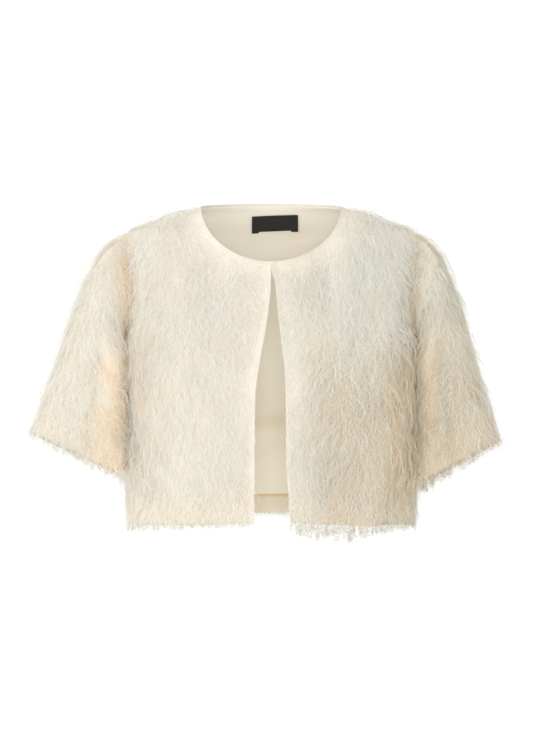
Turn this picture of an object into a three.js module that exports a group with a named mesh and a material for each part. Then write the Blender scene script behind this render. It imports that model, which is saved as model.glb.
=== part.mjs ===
// A cropped jacket in thread-pile cloth: round neck, open front, short set-in sleeves.
// It keeps the hollow form that it has when worn. Millimetres, +Z up.
// The origin is the nape, at the middle of the back neck edge. The front faces -Y,
// and +X is the wearer's left.
import * as THREE from "three";

// Cloth and gaps
const pileWall = 5; // cloth with its pile, full depth
const edgeWalls = [2.6, 4.2]; // at the bare neck and front edges, and one column in
const seamGap = 0.3; // between pieces at a seam
const liningWall = 1;
const facingWall = 1.4; // turned-up hem
const liningSag = { depth: 5, row: 3, rows: 1.6, sideEase: 1.4 }; // the lining's slack above its hem

// Neckline
const neckHalfWidth = 89;
const neckDrop = 66; // from the nape down to the front neck point
const neckRoundness = 1.1; // 1 is a plain half ellipse

// Armhole, a loop on the body's side from the shoulder tip down to the underarm
const shoulderTip = 181;
const armholeTop = -30;
const armholeBottom = -204;
const armholeReach = { front: 33, back: 27 }; // degrees either way from the side line

// Hem
const sideHem = -406;
const frontHemLift = 16; // the front hem rises over the chest
const facingDepth = 26;

// Rows and columns of the panels
const sideRows = 7; // hem to underarm
const armholeRows = 10; // underarm to shoulder tip
const shoulderRows = 4; // shoulder tip to neck
const openRows = 3; // rows of the front edge above the underarm
const frontColumns = 14;
const backColumns = 20;
const loopPoints = 40; // round a sleeve, four for each armhole row
const shoulderCurve = 1.35; // above 1 the shoulder line flattens towards the neck
const backDip = 12; // how much lower the back's rows run at its middle

// Horizontal sections of the body: half width, and y of the front, side and back.
// A shape above 2 is squarer than an ellipse.
const bodySections = [
  { z: -406, half: 186, front: -179, side: -66, back: 34, frontShape: 2.5, backShape: 2.5 },
  { z: -300, half: 186, front: -183, side: -66, back: 37, frontShape: 2.6, backShape: 2.6 },
  { z: -240, half: 186, front: -181, side: -66, back: 38, frontShape: 2.8, backShape: 2.8 },
  { z: -200, half: 187, front: -173, side: -65, back: 38, frontShape: 3.1, backShape: 3.0 },
  { z: -160, half: 188.5, front: -158, side: -64, back: 37, frontShape: 3.3, backShape: 3.2 },
  { z: -110, half: 190, front: -132, side: -62, back: 34, frontShape: 3.3, backShape: 3.2 },
  { z: -66, half: 189, front: -111, side: -61, back: 28, frontShape: 3.0, backShape: 3.0 },
  { z: -45, half: 187, front: -101, side: -60.5, back: 23, frontShape: 2.8, backShape: 2.8 },
  { z: -30, half: 181, front: -93, side: -60, back: 17, frontShape: 2.6, backShape: 2.6 },
  { z: -19, half: 151, front: -85, side: -57.4, back: 12, frontShape: 2.5, backShape: 2.5 },
  { z: -6, half: 120, front: -72, side: -54.7, back: 5, frontShape: 2.4, backShape: 2.3 },
  { z: 0, half: 89, front: -64, side: -52, back: 0, frontShape: 2.3, backShape: 2.2 },
];

// How far each front edge lies from the centre line.
const frontEdges = [
  { z: -390, right: 22, left: 25 },
  { z: -290, right: 21, left: 21 },
  { z: -230, right: 20, left: 19.5 },
  { z: -192, right: 15, left: 17.5 },
  { z: -151, right: 9, left: 13 },
  { z: -111, right: 1.6, left: 7 },
  { z: -66, right: 0.5, left: 0.5 },
];

// Soft folds of the body. Turn is in degrees round from the front, positive to the wearer's left.
// A fold that runs to the hem keeps its depth there.
const bodyFolds = [
  { turnTop: 27, turnBottom: 24, top: -8, bottom: -185, width: 5, rise: 3.2, toHem: false },
  { turnTop: 20, turnBottom: 18, top: -38, bottom: -125, width: 4, rise: -3, toHem: false },
  { turnTop: -22, turnBottom: -24, top: -30, bottom: -200, width: 4, rise: -1.8, toHem: false },
  { turnTop: 66, turnBottom: 52, top: -215, bottom: -406, width: 7, rise: -4, toHem: true },
  { turnTop: 56, turnBottom: 36, top: -215, bottom: -406, width: 7, rise: 3, toHem: true },
  { turnTop: -64, turnBottom: -50, top: -215, bottom: -406, width: 7, rise: -3.5, toHem: true },
  { turnTop: 118, turnBottom: 126, top: -215, bottom: -406, width: 8, rise: 4, toHem: true },
  { turnTop: 142, turnBottom: 148, top: -120, bottom: -406, width: 7, rise: -4, toHem: true },
  { turnTop: -120, turnBottom: -126, top: -215, bottom: -406, width: 8, rise: 4, toHem: true },
  { turnTop: -143, turnBottom: -152, top: -110, bottom: -406, width: 7, rise: -3.5, toHem: true },
  { turnTop: 172, turnBottom: 176, top: -90, bottom: -406, width: 8, rise: 3, toHem: true },
];

// Sections of a sleeve from its head to the cuff. The over line is the sleeve's outer edge and the
// under line its seam beside the body: each has a distance out from the shoulder tip and a height.
// Deep is half the depth from front to back, middle its centre, and drop lowers the back.
const sleeveSections = [
  { over: 0, overZ: -30, under: 6, underZ: -204, deep: 53, middle: -62, drop: 0 },
  { over: 14, overZ: -36, under: 10, underZ: -212, deep: 55, middle: -62, drop: 0 },
  { over: 29, overZ: -47, under: 11, underZ: -222, deep: 57, middle: -63, drop: 0 },
  { over: 42, overZ: -65, under: 11, underZ: -235, deep: 59, middle: -64, drop: 1 },
  { over: 55, overZ: -91, under: 10.5, underZ: -250, deep: 60, middle: -66, drop: 2 },
  { over: 68, overZ: -121, under: 10, underZ: -267, deep: 59, middle: -68, drop: 3 },
  { over: 82, overZ: -160, under: 9.5, underZ: -286, deep: 57, middle: -70, drop: 5 },
  { over: 96, overZ: -203, under: 9, underZ: -305, deep: 54, middle: -72, drop: 7 },
  { over: 112, overZ: -246, under: 8.5, underZ: -325, deep: 51, middle: -75, drop: 9 },
  { over: 129, overZ: -289, under: 8, underZ: -344, deep: 47, middle: -77, drop: 10 },
];
const loopKeepRows = 4; // rows over which a sleeve leaves the armhole's own shape
const gatherSpan = 75; // degrees of the sleeve head on each side of its top
const gatherPitch = 27;
const gatherRise = [0, 1.9, 1.5, 0.8]; // for the first rows

// Where the lining and the turned-up hem begin and end, in rows and columns of the back
const liningInset = { hem: 1.06, neck: 0.2, side: 0.5 };
const facingInset = { hem: 0.04, top: 1, side: 0.4 };

// The wearer's sides. Swing is how far out the sleeve stands, and cuffShift lifts its cuff.
const sides = {
  left: { sign: 1, swing: 0.88, cuffShift: -8 },
  right: { sign: -1, swing: 1, cuffShift: 3 },
};

// Thread fringe: a narrow strip under an edge, with tapered locks. They are longest round a peak, a
// share of the way along, and grow shorter over a spread on each side of it.
const stripDepth = 3;
const stripWall = { outer: 0.8, inner: 4 }; // from the cloth's outer face
const leastLock = 0.35; // share of its full length that any lock has
const unevenWaves = [12.99, 4.14]; // make neighbouring locks differ
const fringes = {
  frontLeft: { locks: 26, shortest: 6, longest: 26, lean: -4, peak: 0.22, spread: 0.3 },
  frontRight: { locks: 26, shortest: 5, longest: 10, lean: -2, peak: 0.8, spread: 0.4 },
  back: { locks: 40, shortest: 5, longest: 13, lean: 2, peak: 0.6, spread: 0.5 },
  cuffLeft: { locks: 30, shortest: 6, longest: 18, lean: 2, peak: 0.45, spread: 0.25 },
  cuffRight: { locks: 30, shortest: 4, longest: 9, lean: 2, peak: 0.45, spread: 0.25 },
};

// Back neck label, on the lining
const label = { middleX: 5, middleZ: -23, width: 60, height: 21, tilt: 2.5, lift: 0.6, wall: 0.8 };
const labelCells = 6;

// Hook and eye inside the neck edge. Their legs lie on the cloth, and their other points are off the
// plane of the eye's loop. The eye's rise is a share of half its height.
const fastening = { z: -82, wire: 0.55, legX: 9, seat: 0.95, stand: 3, barX: 2, halfEye: 2.2 };
const wireSteps = { along: 22, around: 3 };
const eyePath = [
  { x: -9, onCloth: true, off: 0, rise: 1 },
  { x: -6, onCloth: true, off: 0.3, rise: 1 },
  { x: -2.5, onCloth: false, off: 0, rise: 1 },
  { x: 0.2, onCloth: false, off: 0, rise: 0.9 },
  { x: 2, onCloth: false, off: 0, rise: 0.4 },
];
const hookPath = [
  { x: 9, onCloth: true, off: 0, rise: 0 },
  { x: 6.5, onCloth: true, off: 0.6, rise: 0 },
  { x: 4, onCloth: false, off: 1.7, rise: 0 },
  { x: 2, onCloth: false, off: 1.7, rise: 0 },
  { x: -0.9, onCloth: false, off: 1.4, rise: 0 },
  { x: -1.6, onCloth: false, off: 0, rise: 0 },
  { x: -0.9, onCloth: false, off: -1.4, rise: 0 },
  { x: 2, onCloth: false, off: -1.7, rise: 0 },
  { x: 4, onCloth: false, off: -1.5, rise: 0 },
];

const looks = {
  cloth: { color: 0xe9e1cf, roughness: 0.95, metalness: 0 },
  lining: { color: 0xe2d3b8, roughness: 0.45, metalness: 0 },
  facing: { color: 0xdcc9a6, roughness: 0.85, metalness: 0 },
  fringe: { color: 0xf0e9dc, roughness: 0.9, metalness: 0 },
  label: { color: 0x2b2b29, roughness: 0.7, metalness: 0 },
  metal: { color: 0xcfc6b4, roughness: 0.35, metalness: 0.9 },
};

const jacket = new THREE.Group();
const { lerp, degToRad, radToDeg, clamp } = THREE.MathUtils;

// One column of a table at a height, on a smooth curve through its rows.
function valueAt(rows, column, z) {
  const last = rows.length - 1;
  let k = 0;
  while (k < last - 1 && z > rows[k + 1].z) k += 1;
  const slope = (a) => (rows[a + 1][column] - rows[a][column]) / (rows[a + 1].z - rows[a].z);
  const tangent = (i) => {
    if (i === 0) return slope(0);
    if (i === last) return slope(last - 1);
    const before = slope(i - 1);
    const after = slope(i);
    return before * after > 0 ? (2 * before * after) / (before + after) : 0;
  };
  const span = rows[k + 1].z - rows[k].z;
  const t = clamp((z - rows[k].z) / span, 0, 1);
  const rise = t * t * (3 - 2 * t);
  return lerp(rows[k][column], rows[k + 1][column], rise)
    + span * t * (1 - t) * ((1 - t) * tangent(k) - t * tangent(k + 1));
}

function foldRise(turn, z) {
  let rise = 0;
  for (const fold of bodyFolds) {
    const t = (fold.top - z) / (fold.top - fold.bottom);
    if (t <= 0 || (t >= 1 && !fold.toHem)) continue;
    const middle = lerp(fold.turnTop, fold.turnBottom, Math.min(t, 1));
    const away = THREE.MathUtils.euclideanModulo(turn - middle + 180, 360) - 180;
    const fade = Math.sin(Math.PI * (fold.toHem ? Math.min(t, 1) / 2 : t));
    rise += fold.rise * fade * Math.exp(-((away / fold.width) ** 2));
  }
  return rise;
}

// A point of the body's outer surface before its folds.
function formPoint(turn, z) {
  const sine = Math.sin(degToRad(turn));
  const cosine = Math.cos(degToRad(turn));
  const end = cosine > 0 ? "front" : "back";
  const shape = valueAt(bodySections, `${end}Shape`, z);
  const side = valueAt(bodySections, "side", z);
  const reach = Math.abs(valueAt(bodySections, end, z) - side);
  const scale = (Math.abs(sine) ** shape + Math.abs(cosine) ** shape) ** (-1 / shape);
  return new THREE.Vector3(valueAt(bodySections, "half", z) * sine * scale, side - reach * cosine * scale, z);
}

function bodyNormal(turn, z) {
  const step = 0.5;
  const across = formPoint(turn + step, z).sub(formPoint(turn - step, z));
  const up = formPoint(turn, Math.min(z + step, 0)).sub(formPoint(turn, Math.max(z - step, sideHem)));
  return across.cross(up).normalize();
}

function bodyPoint(turn, z) {
  return formPoint(turn, z).addScaledVector(bodyNormal(turn, z), foldRise(turn, z));
}

// The turn at which the body's front crosses a distance from the centre line at a height.
function turnAtX(x, z) {
  const shape = valueAt(bodySections, "frontShape", z);
  const share = Math.min(x / valueAt(bodySections, "half", z), 1);
  return radToDeg(Math.atan2(share, (1 - share ** shape) ** (1 / shape)));
}

// The armhole at an angle round it: 0 is the shoulder tip, 90 its front, 180 the underarm.
function armholeSpot(angle) {
  const middle = (armholeTop + armholeBottom) / 2;
  const reach = angle <= 180 ? armholeReach.front : armholeReach.back;
  return {
    turn: 90 - reach * Math.sin(degToRad(angle)),
    z: middle + (armholeTop - middle) * Math.cos(degToRad(angle)),
    angle,
  };
}

// A sleeve's plain section: a row of the table, at an angle round it as above.
function sectionPoint(side, row, angle) {
  const section = sleeveSections[row];
  const lower = side.cuffShift * (row / (sleeveSections.length - 1)) ** 2;
  const overX = shoulderTip + section.over * side.swing;
  const over = new THREE.Vector3(overX, section.middle, section.overZ + lower);
  const under = new THREE.Vector3(shoulderTip + section.under, section.middle, section.underZ + lower);
  const sine = Math.sin(degToRad(angle));
  const point = new THREE.Vector3().lerpVectors(under, over, (1 + Math.cos(degToRad(angle))) / 2);
  point.y -= section.deep * sine;
  point.z += section.drop * sine;
  point.x *= side.sign;
  return point;
}

// A sleeve's surface. It starts on the armhole's loop and has eased gathers at its head.
function sleevePoint(side, row, angle) {
  const spot = armholeSpot(THREE.MathUtils.euclideanModulo(angle, 360));
  const loop = bodyPoint(side.sign * spot.turn, spot.z);
  if (row === 0) return loop;
  const keep = Math.max(1 - row / loopKeepRows, 0) ** 2;
  const point = sectionPoint(side, row, angle);
  point.addScaledVector(loop.sub(sectionPoint(side, 0, angle)), keep);
  const fromTop = THREE.MathUtils.euclideanModulo(angle + 180, 360) - 180;
  if (row < gatherRise.length && Math.abs(fromTop) < gatherSpan) {
    const wave = Math.cos(degToRad((fromTop * 360) / gatherPitch));
    const fade = Math.cos(degToRad((fromTop * 90) / gatherSpan));
    const outward = point.clone().sub(sectionPoint(side, row, angle + 180)).normalize();
    point.addScaledVector(outward, gatherRise[row] * wave * fade);
  }
  return point;
}

function sleeveNormal(side, row, angle) {
  const last = sleeveSections.length - 1;
  const step = 360 / loopPoints;
  const around = sleevePoint(side, row, angle + step).sub(sleevePoint(side, row, angle - step));
  const along = sleevePoint(side, Math.min(row + 1, last), angle)
    .sub(sleevePoint(side, Math.max(row - 1, 0), angle));
  return around.cross(along).multiplyScalar(side.sign).normalize();
}

// At the armhole the walls of body and sleeve go inwards in one shared direction.
function armholeMitre(side, spot) {
  const normal = bodyNormal(side.sign * spot.turn, spot.z);
  return normal.add(sleeveNormal(side, 0, spot.angle)).normalize();
}

// The outer face of a wall moved inwards, each point along its own direction.
function movedIn(grid, directions, depth) {
  return grid.map((line, row) => line.map((point, column) => {
    const far = typeof depth === "function" ? depth(row, column) : depth;
    return point.clone().addScaledVector(directions[row][column], -far);
  }));
}

// Opens half a seam's gap along one edge of a wall, across the seam and towards the wall's middle.
function openSeam(outer, inner, edge, from = 0, to = Infinity) {
  const rows = outer.length;
  const columns = outer[0].length;
  const isColumn = edge.endsWith("Column");
  const isFirst = edge.startsWith("first");
  const length = isColumn ? rows : columns;
  const at = (grid, index, inset) => {
    const other = isFirst ? inset : (isColumn ? columns : rows) - 1 - inset;
    return isColumn ? grid[index][other] : grid[other][index];
  };
  const shifts = [];
  for (let i = 0; i < length; i += 1) {
    const along = at(outer, Math.min(i + 1, length - 1), 0).clone().sub(at(outer, Math.max(i - 1, 0), 0));
    const depth = at(outer, i, 0).clone().sub(at(inner, i, 0));
    const shift = along.cross(depth).setLength(seamGap / 2);
    const towards = at(outer, i, 1).clone().sub(at(outer, i, 0));
    shifts.push(shift.dot(towards) < 0 ? shift.negate() : shift);
  }
  for (let i = from; i <= Math.min(to, length - 1); i += 1) {
    at(outer, i, 0).add(shifts[i]);
    at(inner, i, 0).add(shifts[i]);
  }
}

// A geometry from points and faces, turned so that its faces point out.
function solid(points, faces) {
  let volume = 0;
  for (const [a, b, c] of faces) volume += points[a].dot(points[b].clone().cross(points[c]));
  const turned = faces.map((face) => (volume < 0 ? face.slice().reverse() : face));
  const geometry = new THREE.BufferGeometry().setFromPoints(points);
  geometry.setIndex(turned.flat());
  geometry.computeVertexNormals();
  return geometry;
}

// The closed wall between two grids of points, [row][column]. A ring's last column meets its first.
function wall(outer, inner, isRing = false) {
  const rows = outer.length;
  const columns = outer[0].length;
  const faces = [];
  const at = (layer, row, column) => (layer * rows + row) * columns + (column % columns);
  const quad = (a, b, c, d) => faces.push([a, b, c], [a, c, d]);
  const cells = isRing ? columns : columns - 1;
  for (let column = 0; column < cells; column += 1) {
    const next = column + 1;
    for (let row = 0; row < rows - 1; row += 1) {
      quad(at(0, row, column), at(0, row, next), at(0, row + 1, next), at(0, row + 1, column));
      quad(at(1, row, column), at(1, row + 1, column), at(1, row + 1, next), at(1, row, next));
    }
    quad(at(0, 0, column), at(1, 0, column), at(1, 0, next), at(0, 0, next));
    quad(at(0, rows - 1, column), at(0, rows - 1, next), at(1, rows - 1, next), at(1, rows - 1, column));
  }
  for (let row = 0; row < rows - 1 && !isRing; row += 1) {
    const end = columns - 1;
    quad(at(0, row, 0), at(0, row + 1, 0), at(1, row + 1, 0), at(1, row, 0));
    quad(at(0, row, end), at(1, row, end), at(1, row + 1, end), at(0, row + 1, end));
  }
  return solid([...outer.flat(), ...inner.flat()], faces);
}

function add(name, geometry, look) {
  const mesh = new THREE.Mesh(geometry, new THREE.MeshStandardMaterial(look));
  mesh.name = name;
  jacket.add(mesh);
}

// Heights of the side seam's rows. The first row above the hem is as deep as the turned-up hem.
function sideHeight(row) {
  const facingTop = sideHem + facingDepth;
  return row === 0 ? sideHem : lerp(facingTop, armholeBottom, (row - 1) / (sideRows - 1));
}

// The outer boundary of a panel, row by row: side seam, then the armhole up to the shoulder tip.
function outsideSpots(isBack) {
  const spots = [];
  for (let row = 0; row < sideRows; row += 1) spots.push({ turn: 90, z: sideHeight(row) });
  for (let row = 0; row <= armholeRows; row += 1) {
    const angle = (180 * row) / armholeRows;
    spots.push(armholeSpot(isBack ? 180 + angle : 180 - angle));
  }
  return spots;
}

// The inner boundary of a front, row by row: front edge, then the neckline up to the shoulder.
function frontInsideSpots(sideName) {
  const spots = [];
  const openTop = -neckDrop;
  const edgeSpot = (z) => ({ turn: turnAtX(valueAt(frontEdges, sideName, z), z), z });
  for (let row = 0; row <= sideRows; row += 1) {
    const z = sideHeight(row);
    spots.push(edgeSpot(z + frontHemLift * ((z - armholeBottom) / (sideHem - armholeBottom))));
  }
  for (let row = 1; row <= openRows; row += 1) {
    spots.push(edgeSpot(lerp(armholeBottom, openTop, row / openRows)));
  }
  const neckRows = armholeRows - openRows;
  for (let row = 1; row <= neckRows; row += 1) {
    const angle = degToRad(90 * (1 - row / neckRows));
    const z = -neckDrop * Math.sin(angle) ** neckRoundness;
    spots.push({ turn: turnAtX(neckHalfWidth * Math.cos(angle), z), z });
  }
  return spots;
}

function frontPanel(sideName) {
  const side = sides[sideName];
  const inside = frontInsideSpots(sideName);
  const outside = outsideSpots(false);
  const reach = [];
  const directions = [];
  for (let row = 0; row < inside.length; row += 1) {
    reach.push([]);
    directions.push([]);
    for (let column = 0; column <= frontColumns; column += 1) {
      const share = column / frontColumns;
      const turn = side.sign * lerp(inside[row].turn, outside[row].turn, share);
      const z = lerp(inside[row].z, outside[row].z, share);
      const onArmhole = column === frontColumns && row >= sideRows;
      reach[row].push(bodyPoint(turn, z));
      directions[row].push(onArmhole ? armholeMitre(side, outside[row]) : bodyNormal(turn, z));
    }
  }
  const outer = movedIn(reach, directions, (row, column) => pileWall - (edgeWalls[column] ?? pileWall));
  const inner = movedIn(reach, directions, pileWall);
  openSeam(outer, inner, "lastColumn");
  openSeam(outer, inner, "lastRow", 1);
  return { outer, inner };
}

// The back's rows go right across, from the wearer's left side to the right.
function backPanel() {
  const edge = outsideSpots(true);
  for (let row = 1; row <= shoulderRows; row += 1) {
    const share = 1 - row / shoulderRows;
    edge.push({ turn: 90, z: armholeTop * share ** shoulderCurve });
  }
  const last = edge.length - 1;
  const tipRow = sideRows + armholeRows;
  const tipMiddle = armholeTop - backDip;
  const reach = [];
  const directions = [];
  const normals = [];
  for (let row = 0; row <= last; row += 1) {
    let middle = lerp(armholeBottom, tipMiddle, (row - sideRows) / armholeRows);
    if (row < sideRows) middle = edge[row].z;
    if (row > tipRow) middle = tipMiddle * (edge[row].z / armholeTop);
    reach.push([]);
    directions.push([]);
    normals.push([]);
    for (let column = 0; column <= backColumns; column += 1) {
      const share = Math.min(column, backColumns - column) / (backColumns / 2);
      const half = lerp(edge[row].turn, 180, share);
      const turn = column <= backColumns / 2 ? half : 360 - half;
      const z = lerp(edge[row].z, middle, share);
      const isEnd = column === 0 || column === backColumns;
      const side = column === 0 ? sides.left : sides.right;
      const onArmhole = isEnd && row >= sideRows && row <= tipRow;
      reach[row].push(bodyPoint(turn, z));
      normals[row].push(bodyNormal(turn, z));
      directions[row].push(onArmhole ? armholeMitre(side, edge[row]) : normals[row][column]);
    }
  }
  const outer = movedIn(reach, directions, 0);
  const inner = movedIn(reach, directions, pileWall);
  openSeam(outer, inner, "firstColumn");
  openSeam(outer, inner, "lastColumn");
  return { outer, inner, normals };
}

// A sleeve's rings. The head has one point for each panel row, and one midway on each chord.
function sleeveTube(side) {
  const step = 360 / loopPoints;
  const outer = [];
  const inner = [];
  for (let row = 0; row < sleeveSections.length; row += 1) {
    const reach = Array.from({ length: loopPoints }, (_, i) => sleevePoint(side, row, i * step));
    const directions = reach.map((_, i) => (row === 0
      ? armholeMitre(side, armholeSpot(i * step))
      : sleeveNormal(side, row, i * step)));
    outer.push(reach);
    inner.push(movedIn([reach], [directions], pileWall)[0]);
  }
  const head = [outer[0], inner[0]];
  for (let i = 0; i < loopPoints; i += 2) {
    const along = head[0][(i + 2) % loopPoints].clone().sub(head[0].at(i - 2));
    const shift = along.cross(head[0][i].clone().sub(head[1][i])).setLength(seamGap / 2);
    if (shift.dot(outer[1][i].clone().sub(head[0][i])) < 0) shift.negate();
    head.forEach((ring) => { ring[i] = ring[i].clone().add(shift); });
  }
  for (let i = 1; i < loopPoints; i += 2) {
    head.forEach((ring) => ring[i].lerpVectors(ring[i - 1], ring[(i + 1) % loopPoints], 0.5));
  }
  return { outer, inner };
}

// Part of a grid, between two rows and two columns that may fall between its own.
function partOf(grid, firstRow, lastRow, firstColumn, lastColumn) {
  const stops = (from, to) => {
    const inside = [];
    for (let i = Math.floor(from) + 1; i < to; i += 1) inside.push(i);
    return [from, ...inside, to];
  };
  const pick = (row, column) => {
    const low = Math.min(Math.floor(row), grid.length - 2);
    const near = Math.min(Math.floor(column), grid[0].length - 2);
    const lower = grid[low][near].clone().lerp(grid[low][near + 1], column - near);
    const upper = grid[low + 1][near].clone().lerp(grid[low + 1][near + 1], column - near);
    return lower.lerp(upper, row - low);
  };
  const columns = stops(firstColumn, lastColumn);
  return stops(firstRow, lastRow).map((row) => columns.map((column) => pick(row, column)));
}

// Satin inside the back, from its points moved in, with a little ease that sags above the hem.
function backLining(back) {
  const last = back.inner.length - 1;
  const ease = (row, column) => {
    const sag = liningSag.depth * Math.exp(-(((row - liningSag.row) / liningSag.rows) ** 2));
    return seamGap + sag + (column % backColumns === 0 ? liningSag.sideEase : 0);
  };
  const outer = movedIn(back.inner, back.normals, ease);
  const inner = movedIn(back.inner, back.normals, (row, column) => liningWall + ease(row, column));
  const { hem, neck, side } = liningInset;
  const window = [hem, last - neck, side, backColumns - side];
  return { outer: partOf(outer, ...window), inner: partOf(inner, ...window) };
}

function backFacing(back) {
  const outer = movedIn(back.inner, back.normals, seamGap);
  const inner = movedIn(back.inner, back.normals, seamGap + facingWall);
  const { hem, top, side } = facingInset;
  const window = [hem, top, side, backColumns - side];
  return { outer: partOf(outer, ...window), inner: partOf(inner, ...window) };
}

// Points spaced evenly along a line of points.
function evenly(line, count) {
  const lengths = [0];
  for (let i = 1; i < line.length; i += 1) lengths.push(lengths[i - 1] + line[i].distanceTo(line[i - 1]));
  const points = [];
  let k = 0;
  for (let i = 0; i < count; i += 1) {
    const far = (lengths.at(-1) * i) / (count - 1);
    while (k < line.length - 2 && far > lengths[k + 1]) k += 1;
    points.push(line[k].clone().lerp(line[k + 1], (far - lengths[k]) / (lengths[k + 1] - lengths[k])));
  }
  return points;
}

// A strip below an edge with a lock of threads under every second cell. Down is its way at each point.
function fringe(outerLine, innerLine, down, plan, isRing = false) {
  const cells = 2 * plan.locks;
  const edges = [outerLine, innerLine].map((line) => evenly(isRing ? [...line, line[0]] : line, cells + 1));
  const depth = edges[1].map((point, i) => point.clone().sub(edges[0][i]).normalize());
  const levels = [seamGap, seamGap + stripDepth];
  const points = [];
  const columns = isRing ? cells : cells + 1;
  for (let i = 0; i < columns; i += 1) {
    for (const level of levels) {
      for (const far of [stripWall.outer, stripWall.inner]) {
        points.push(edges[0][i].clone().addScaledVector(depth[i], far).addScaledVector(down, level));
      }
    }
  }
  const at = (column, level, face) => (column % columns) * 4 + level * 2 + face;
  const faces = [];
  const quad = (a, b, c, d) => faces.push([a, b, c], [a, c, d]);
  for (let i = 0; i < cells; i += 1) {
    const next = i + 1;
    quad(at(i, 0, 0), at(i, 1, 0), at(next, 1, 0), at(next, 0, 0));
    quad(at(i, 0, 1), at(next, 0, 1), at(next, 1, 1), at(i, 1, 1));
    quad(at(i, 0, 0), at(next, 0, 0), at(next, 0, 1), at(i, 0, 1));
    const base = [at(i, 1, 0), at(i, 1, 1), at(next, 1, 1), at(next, 1, 0)];
    if (i % 2 === 1) {
      quad(...base);
      continue;
    }
    const uneven = unevenWaves.reduce((sum, wave) => sum + Math.sin(i * wave) + 1, 0) / 4;
    const near = Math.exp(-(((i / cells - plan.peak) / plan.spread) ** 2));
    const along = edges[0][i + 1].clone().sub(edges[0][i]).normalize();
    const tip = new THREE.Vector3();
    for (const index of base) tip.addScaledVector(points[index], 1 / base.length);
    tip.addScaledVector(down, lerp(plan.shortest, plan.longest, lerp(leastLock, 1, uneven) * near));
    tip.addScaledVector(along, plan.lean * (leastLock + uneven));
    points.push(tip);
    for (let k = 0; k < 4; k += 1) faces.push([base[k], base[(k + 1) % 4], points.length - 1]);
  }
  if (!isRing) {
    quad(at(0, 0, 0), at(0, 0, 1), at(0, 1, 1), at(0, 1, 0));
    quad(at(cells, 0, 0), at(cells, 1, 0), at(cells, 1, 1), at(cells, 0, 1));
  }
  return solid(points, faces);
}

// The back's surface as the lining lies on it, at a distance from the centre line.
function liningPoint(x, z, depth) {
  const shape = valueAt(bodySections, "backShape", z);
  const share = Math.abs(x) / valueAt(bodySections, "half", z);
  const turn = 180 - Math.sign(x) * radToDeg(Math.atan2(share, (1 - share ** shape) ** (1 / shape)));
  return bodyPoint(turn, z).addScaledVector(bodyNormal(turn, z), -depth);
}

function neckLabel() {
  const depth = pileWall + seamGap + liningWall + label.lift;
  const grids = [depth, depth + label.wall].map((far) => [-0.5, 0.5].map((rise) => {
    const line = [];
    for (let i = 0; i <= labelCells; i += 1) {
      const x = label.width * (i / labelCells - 0.5);
      const z = label.middleZ + rise * label.height + x * Math.tan(degToRad(label.tilt));
      line.push(liningPoint(label.middleX + x || 0.01, z, far));
    }
    return line;
  }));
  return wall(...grids);
}

// A wire bent along points, round in section.
function wire(points) {
  const path = new THREE.CatmullRomCurve3(points, false, "centripetal");
  const section = new THREE.Shape().absarc(0, 0, fastening.wire, 0, 2 * Math.PI);
  const { along: steps, around: curveSegments } = wireSteps;
  return new THREE.ExtrudeGeometry(section, { steps, curveSegments, extrudePath: path, bevelEnabled: false });
}

// Y of a front's inner face near its edge, at a height.
function behindFront(x, z) {
  const turn = Math.sign(x) * turnAtX(Math.abs(x), z);
  const level = z + pileWall * bodyNormal(turn, z).z;
  return bodyPoint(turn, level).addScaledVector(bodyNormal(turn, level), -pileWall).y;
}

// The eye is a loop of wire on the right front. The hook comes from the left and goes through it.
function addFastening() {
  const { z, legX, seat, stand, barX, halfEye } = fastening;
  const planeY = behindFront(barX, z) + stand;
  const bend = (rows, half) => rows.map((row) => {
    const level = z + row.rise * half;
    const y = row.onCloth ? behindFront(Math.sign(row.x) * legX, level) + seat : planeY;
    return new THREE.Vector3(row.x, y + row.off, level);
  });
  add("eye", wire([...bend(eyePath, halfEye), ...bend(eyePath, -halfEye).reverse()]), looks.metal);
  add("hook", wire(bend(hookPath, halfEye)), looks.metal);
}

function addBody() {
  const straightDown = new THREE.Vector3(0, 0, -1);
  for (const sideName of ["left", "right"]) {
    const { outer, inner } = frontPanel(sideName);
    add(`front_${sideName}`, wall(outer, inner), looks.cloth);
    const plan = sideName === "left" ? fringes.frontLeft : fringes.frontRight;
    add(`hem_fringe_${sideName}`, fringe(outer[0], inner[0], straightDown, plan), looks.fringe);
  }
  const back = backPanel();
  add("back", wall(back.outer, back.inner), looks.cloth);
  add("hem_fringe_back", fringe(back.outer[0], back.inner[0], straightDown, fringes.back), looks.fringe);
  const lining = backLining(back);
  add("lining_back", wall(lining.outer, lining.inner), looks.lining);
  const facing = backFacing(back);
  add("hem_facing_back", wall(facing.outer, facing.inner), looks.facing);
}

function addSleeves() {
  for (const [sideName, side] of Object.entries(sides)) {
    const { outer, inner } = sleeveTube(side);
    add(`sleeve_${sideName}`, wall(outer, inner, true), looks.cloth);
    const cuff = outer.at(-1);
    const above = outer.at(-2);
    const down = new THREE.Vector3();
    cuff.forEach((point, i) => down.add(point).sub(above[i]));
    const plan = sideName === "left" ? fringes.cuffLeft : fringes.cuffRight;
    add(`cuff_fringe_${sideName}`, fringe(cuff, inner.at(-1), down.normalize(), plan, true), looks.fringe);
  }
}

addBody();
addSleeves();
add("label", neckLabel(), looks.label);
addFastening();

export default jacket;
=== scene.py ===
import math

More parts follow.
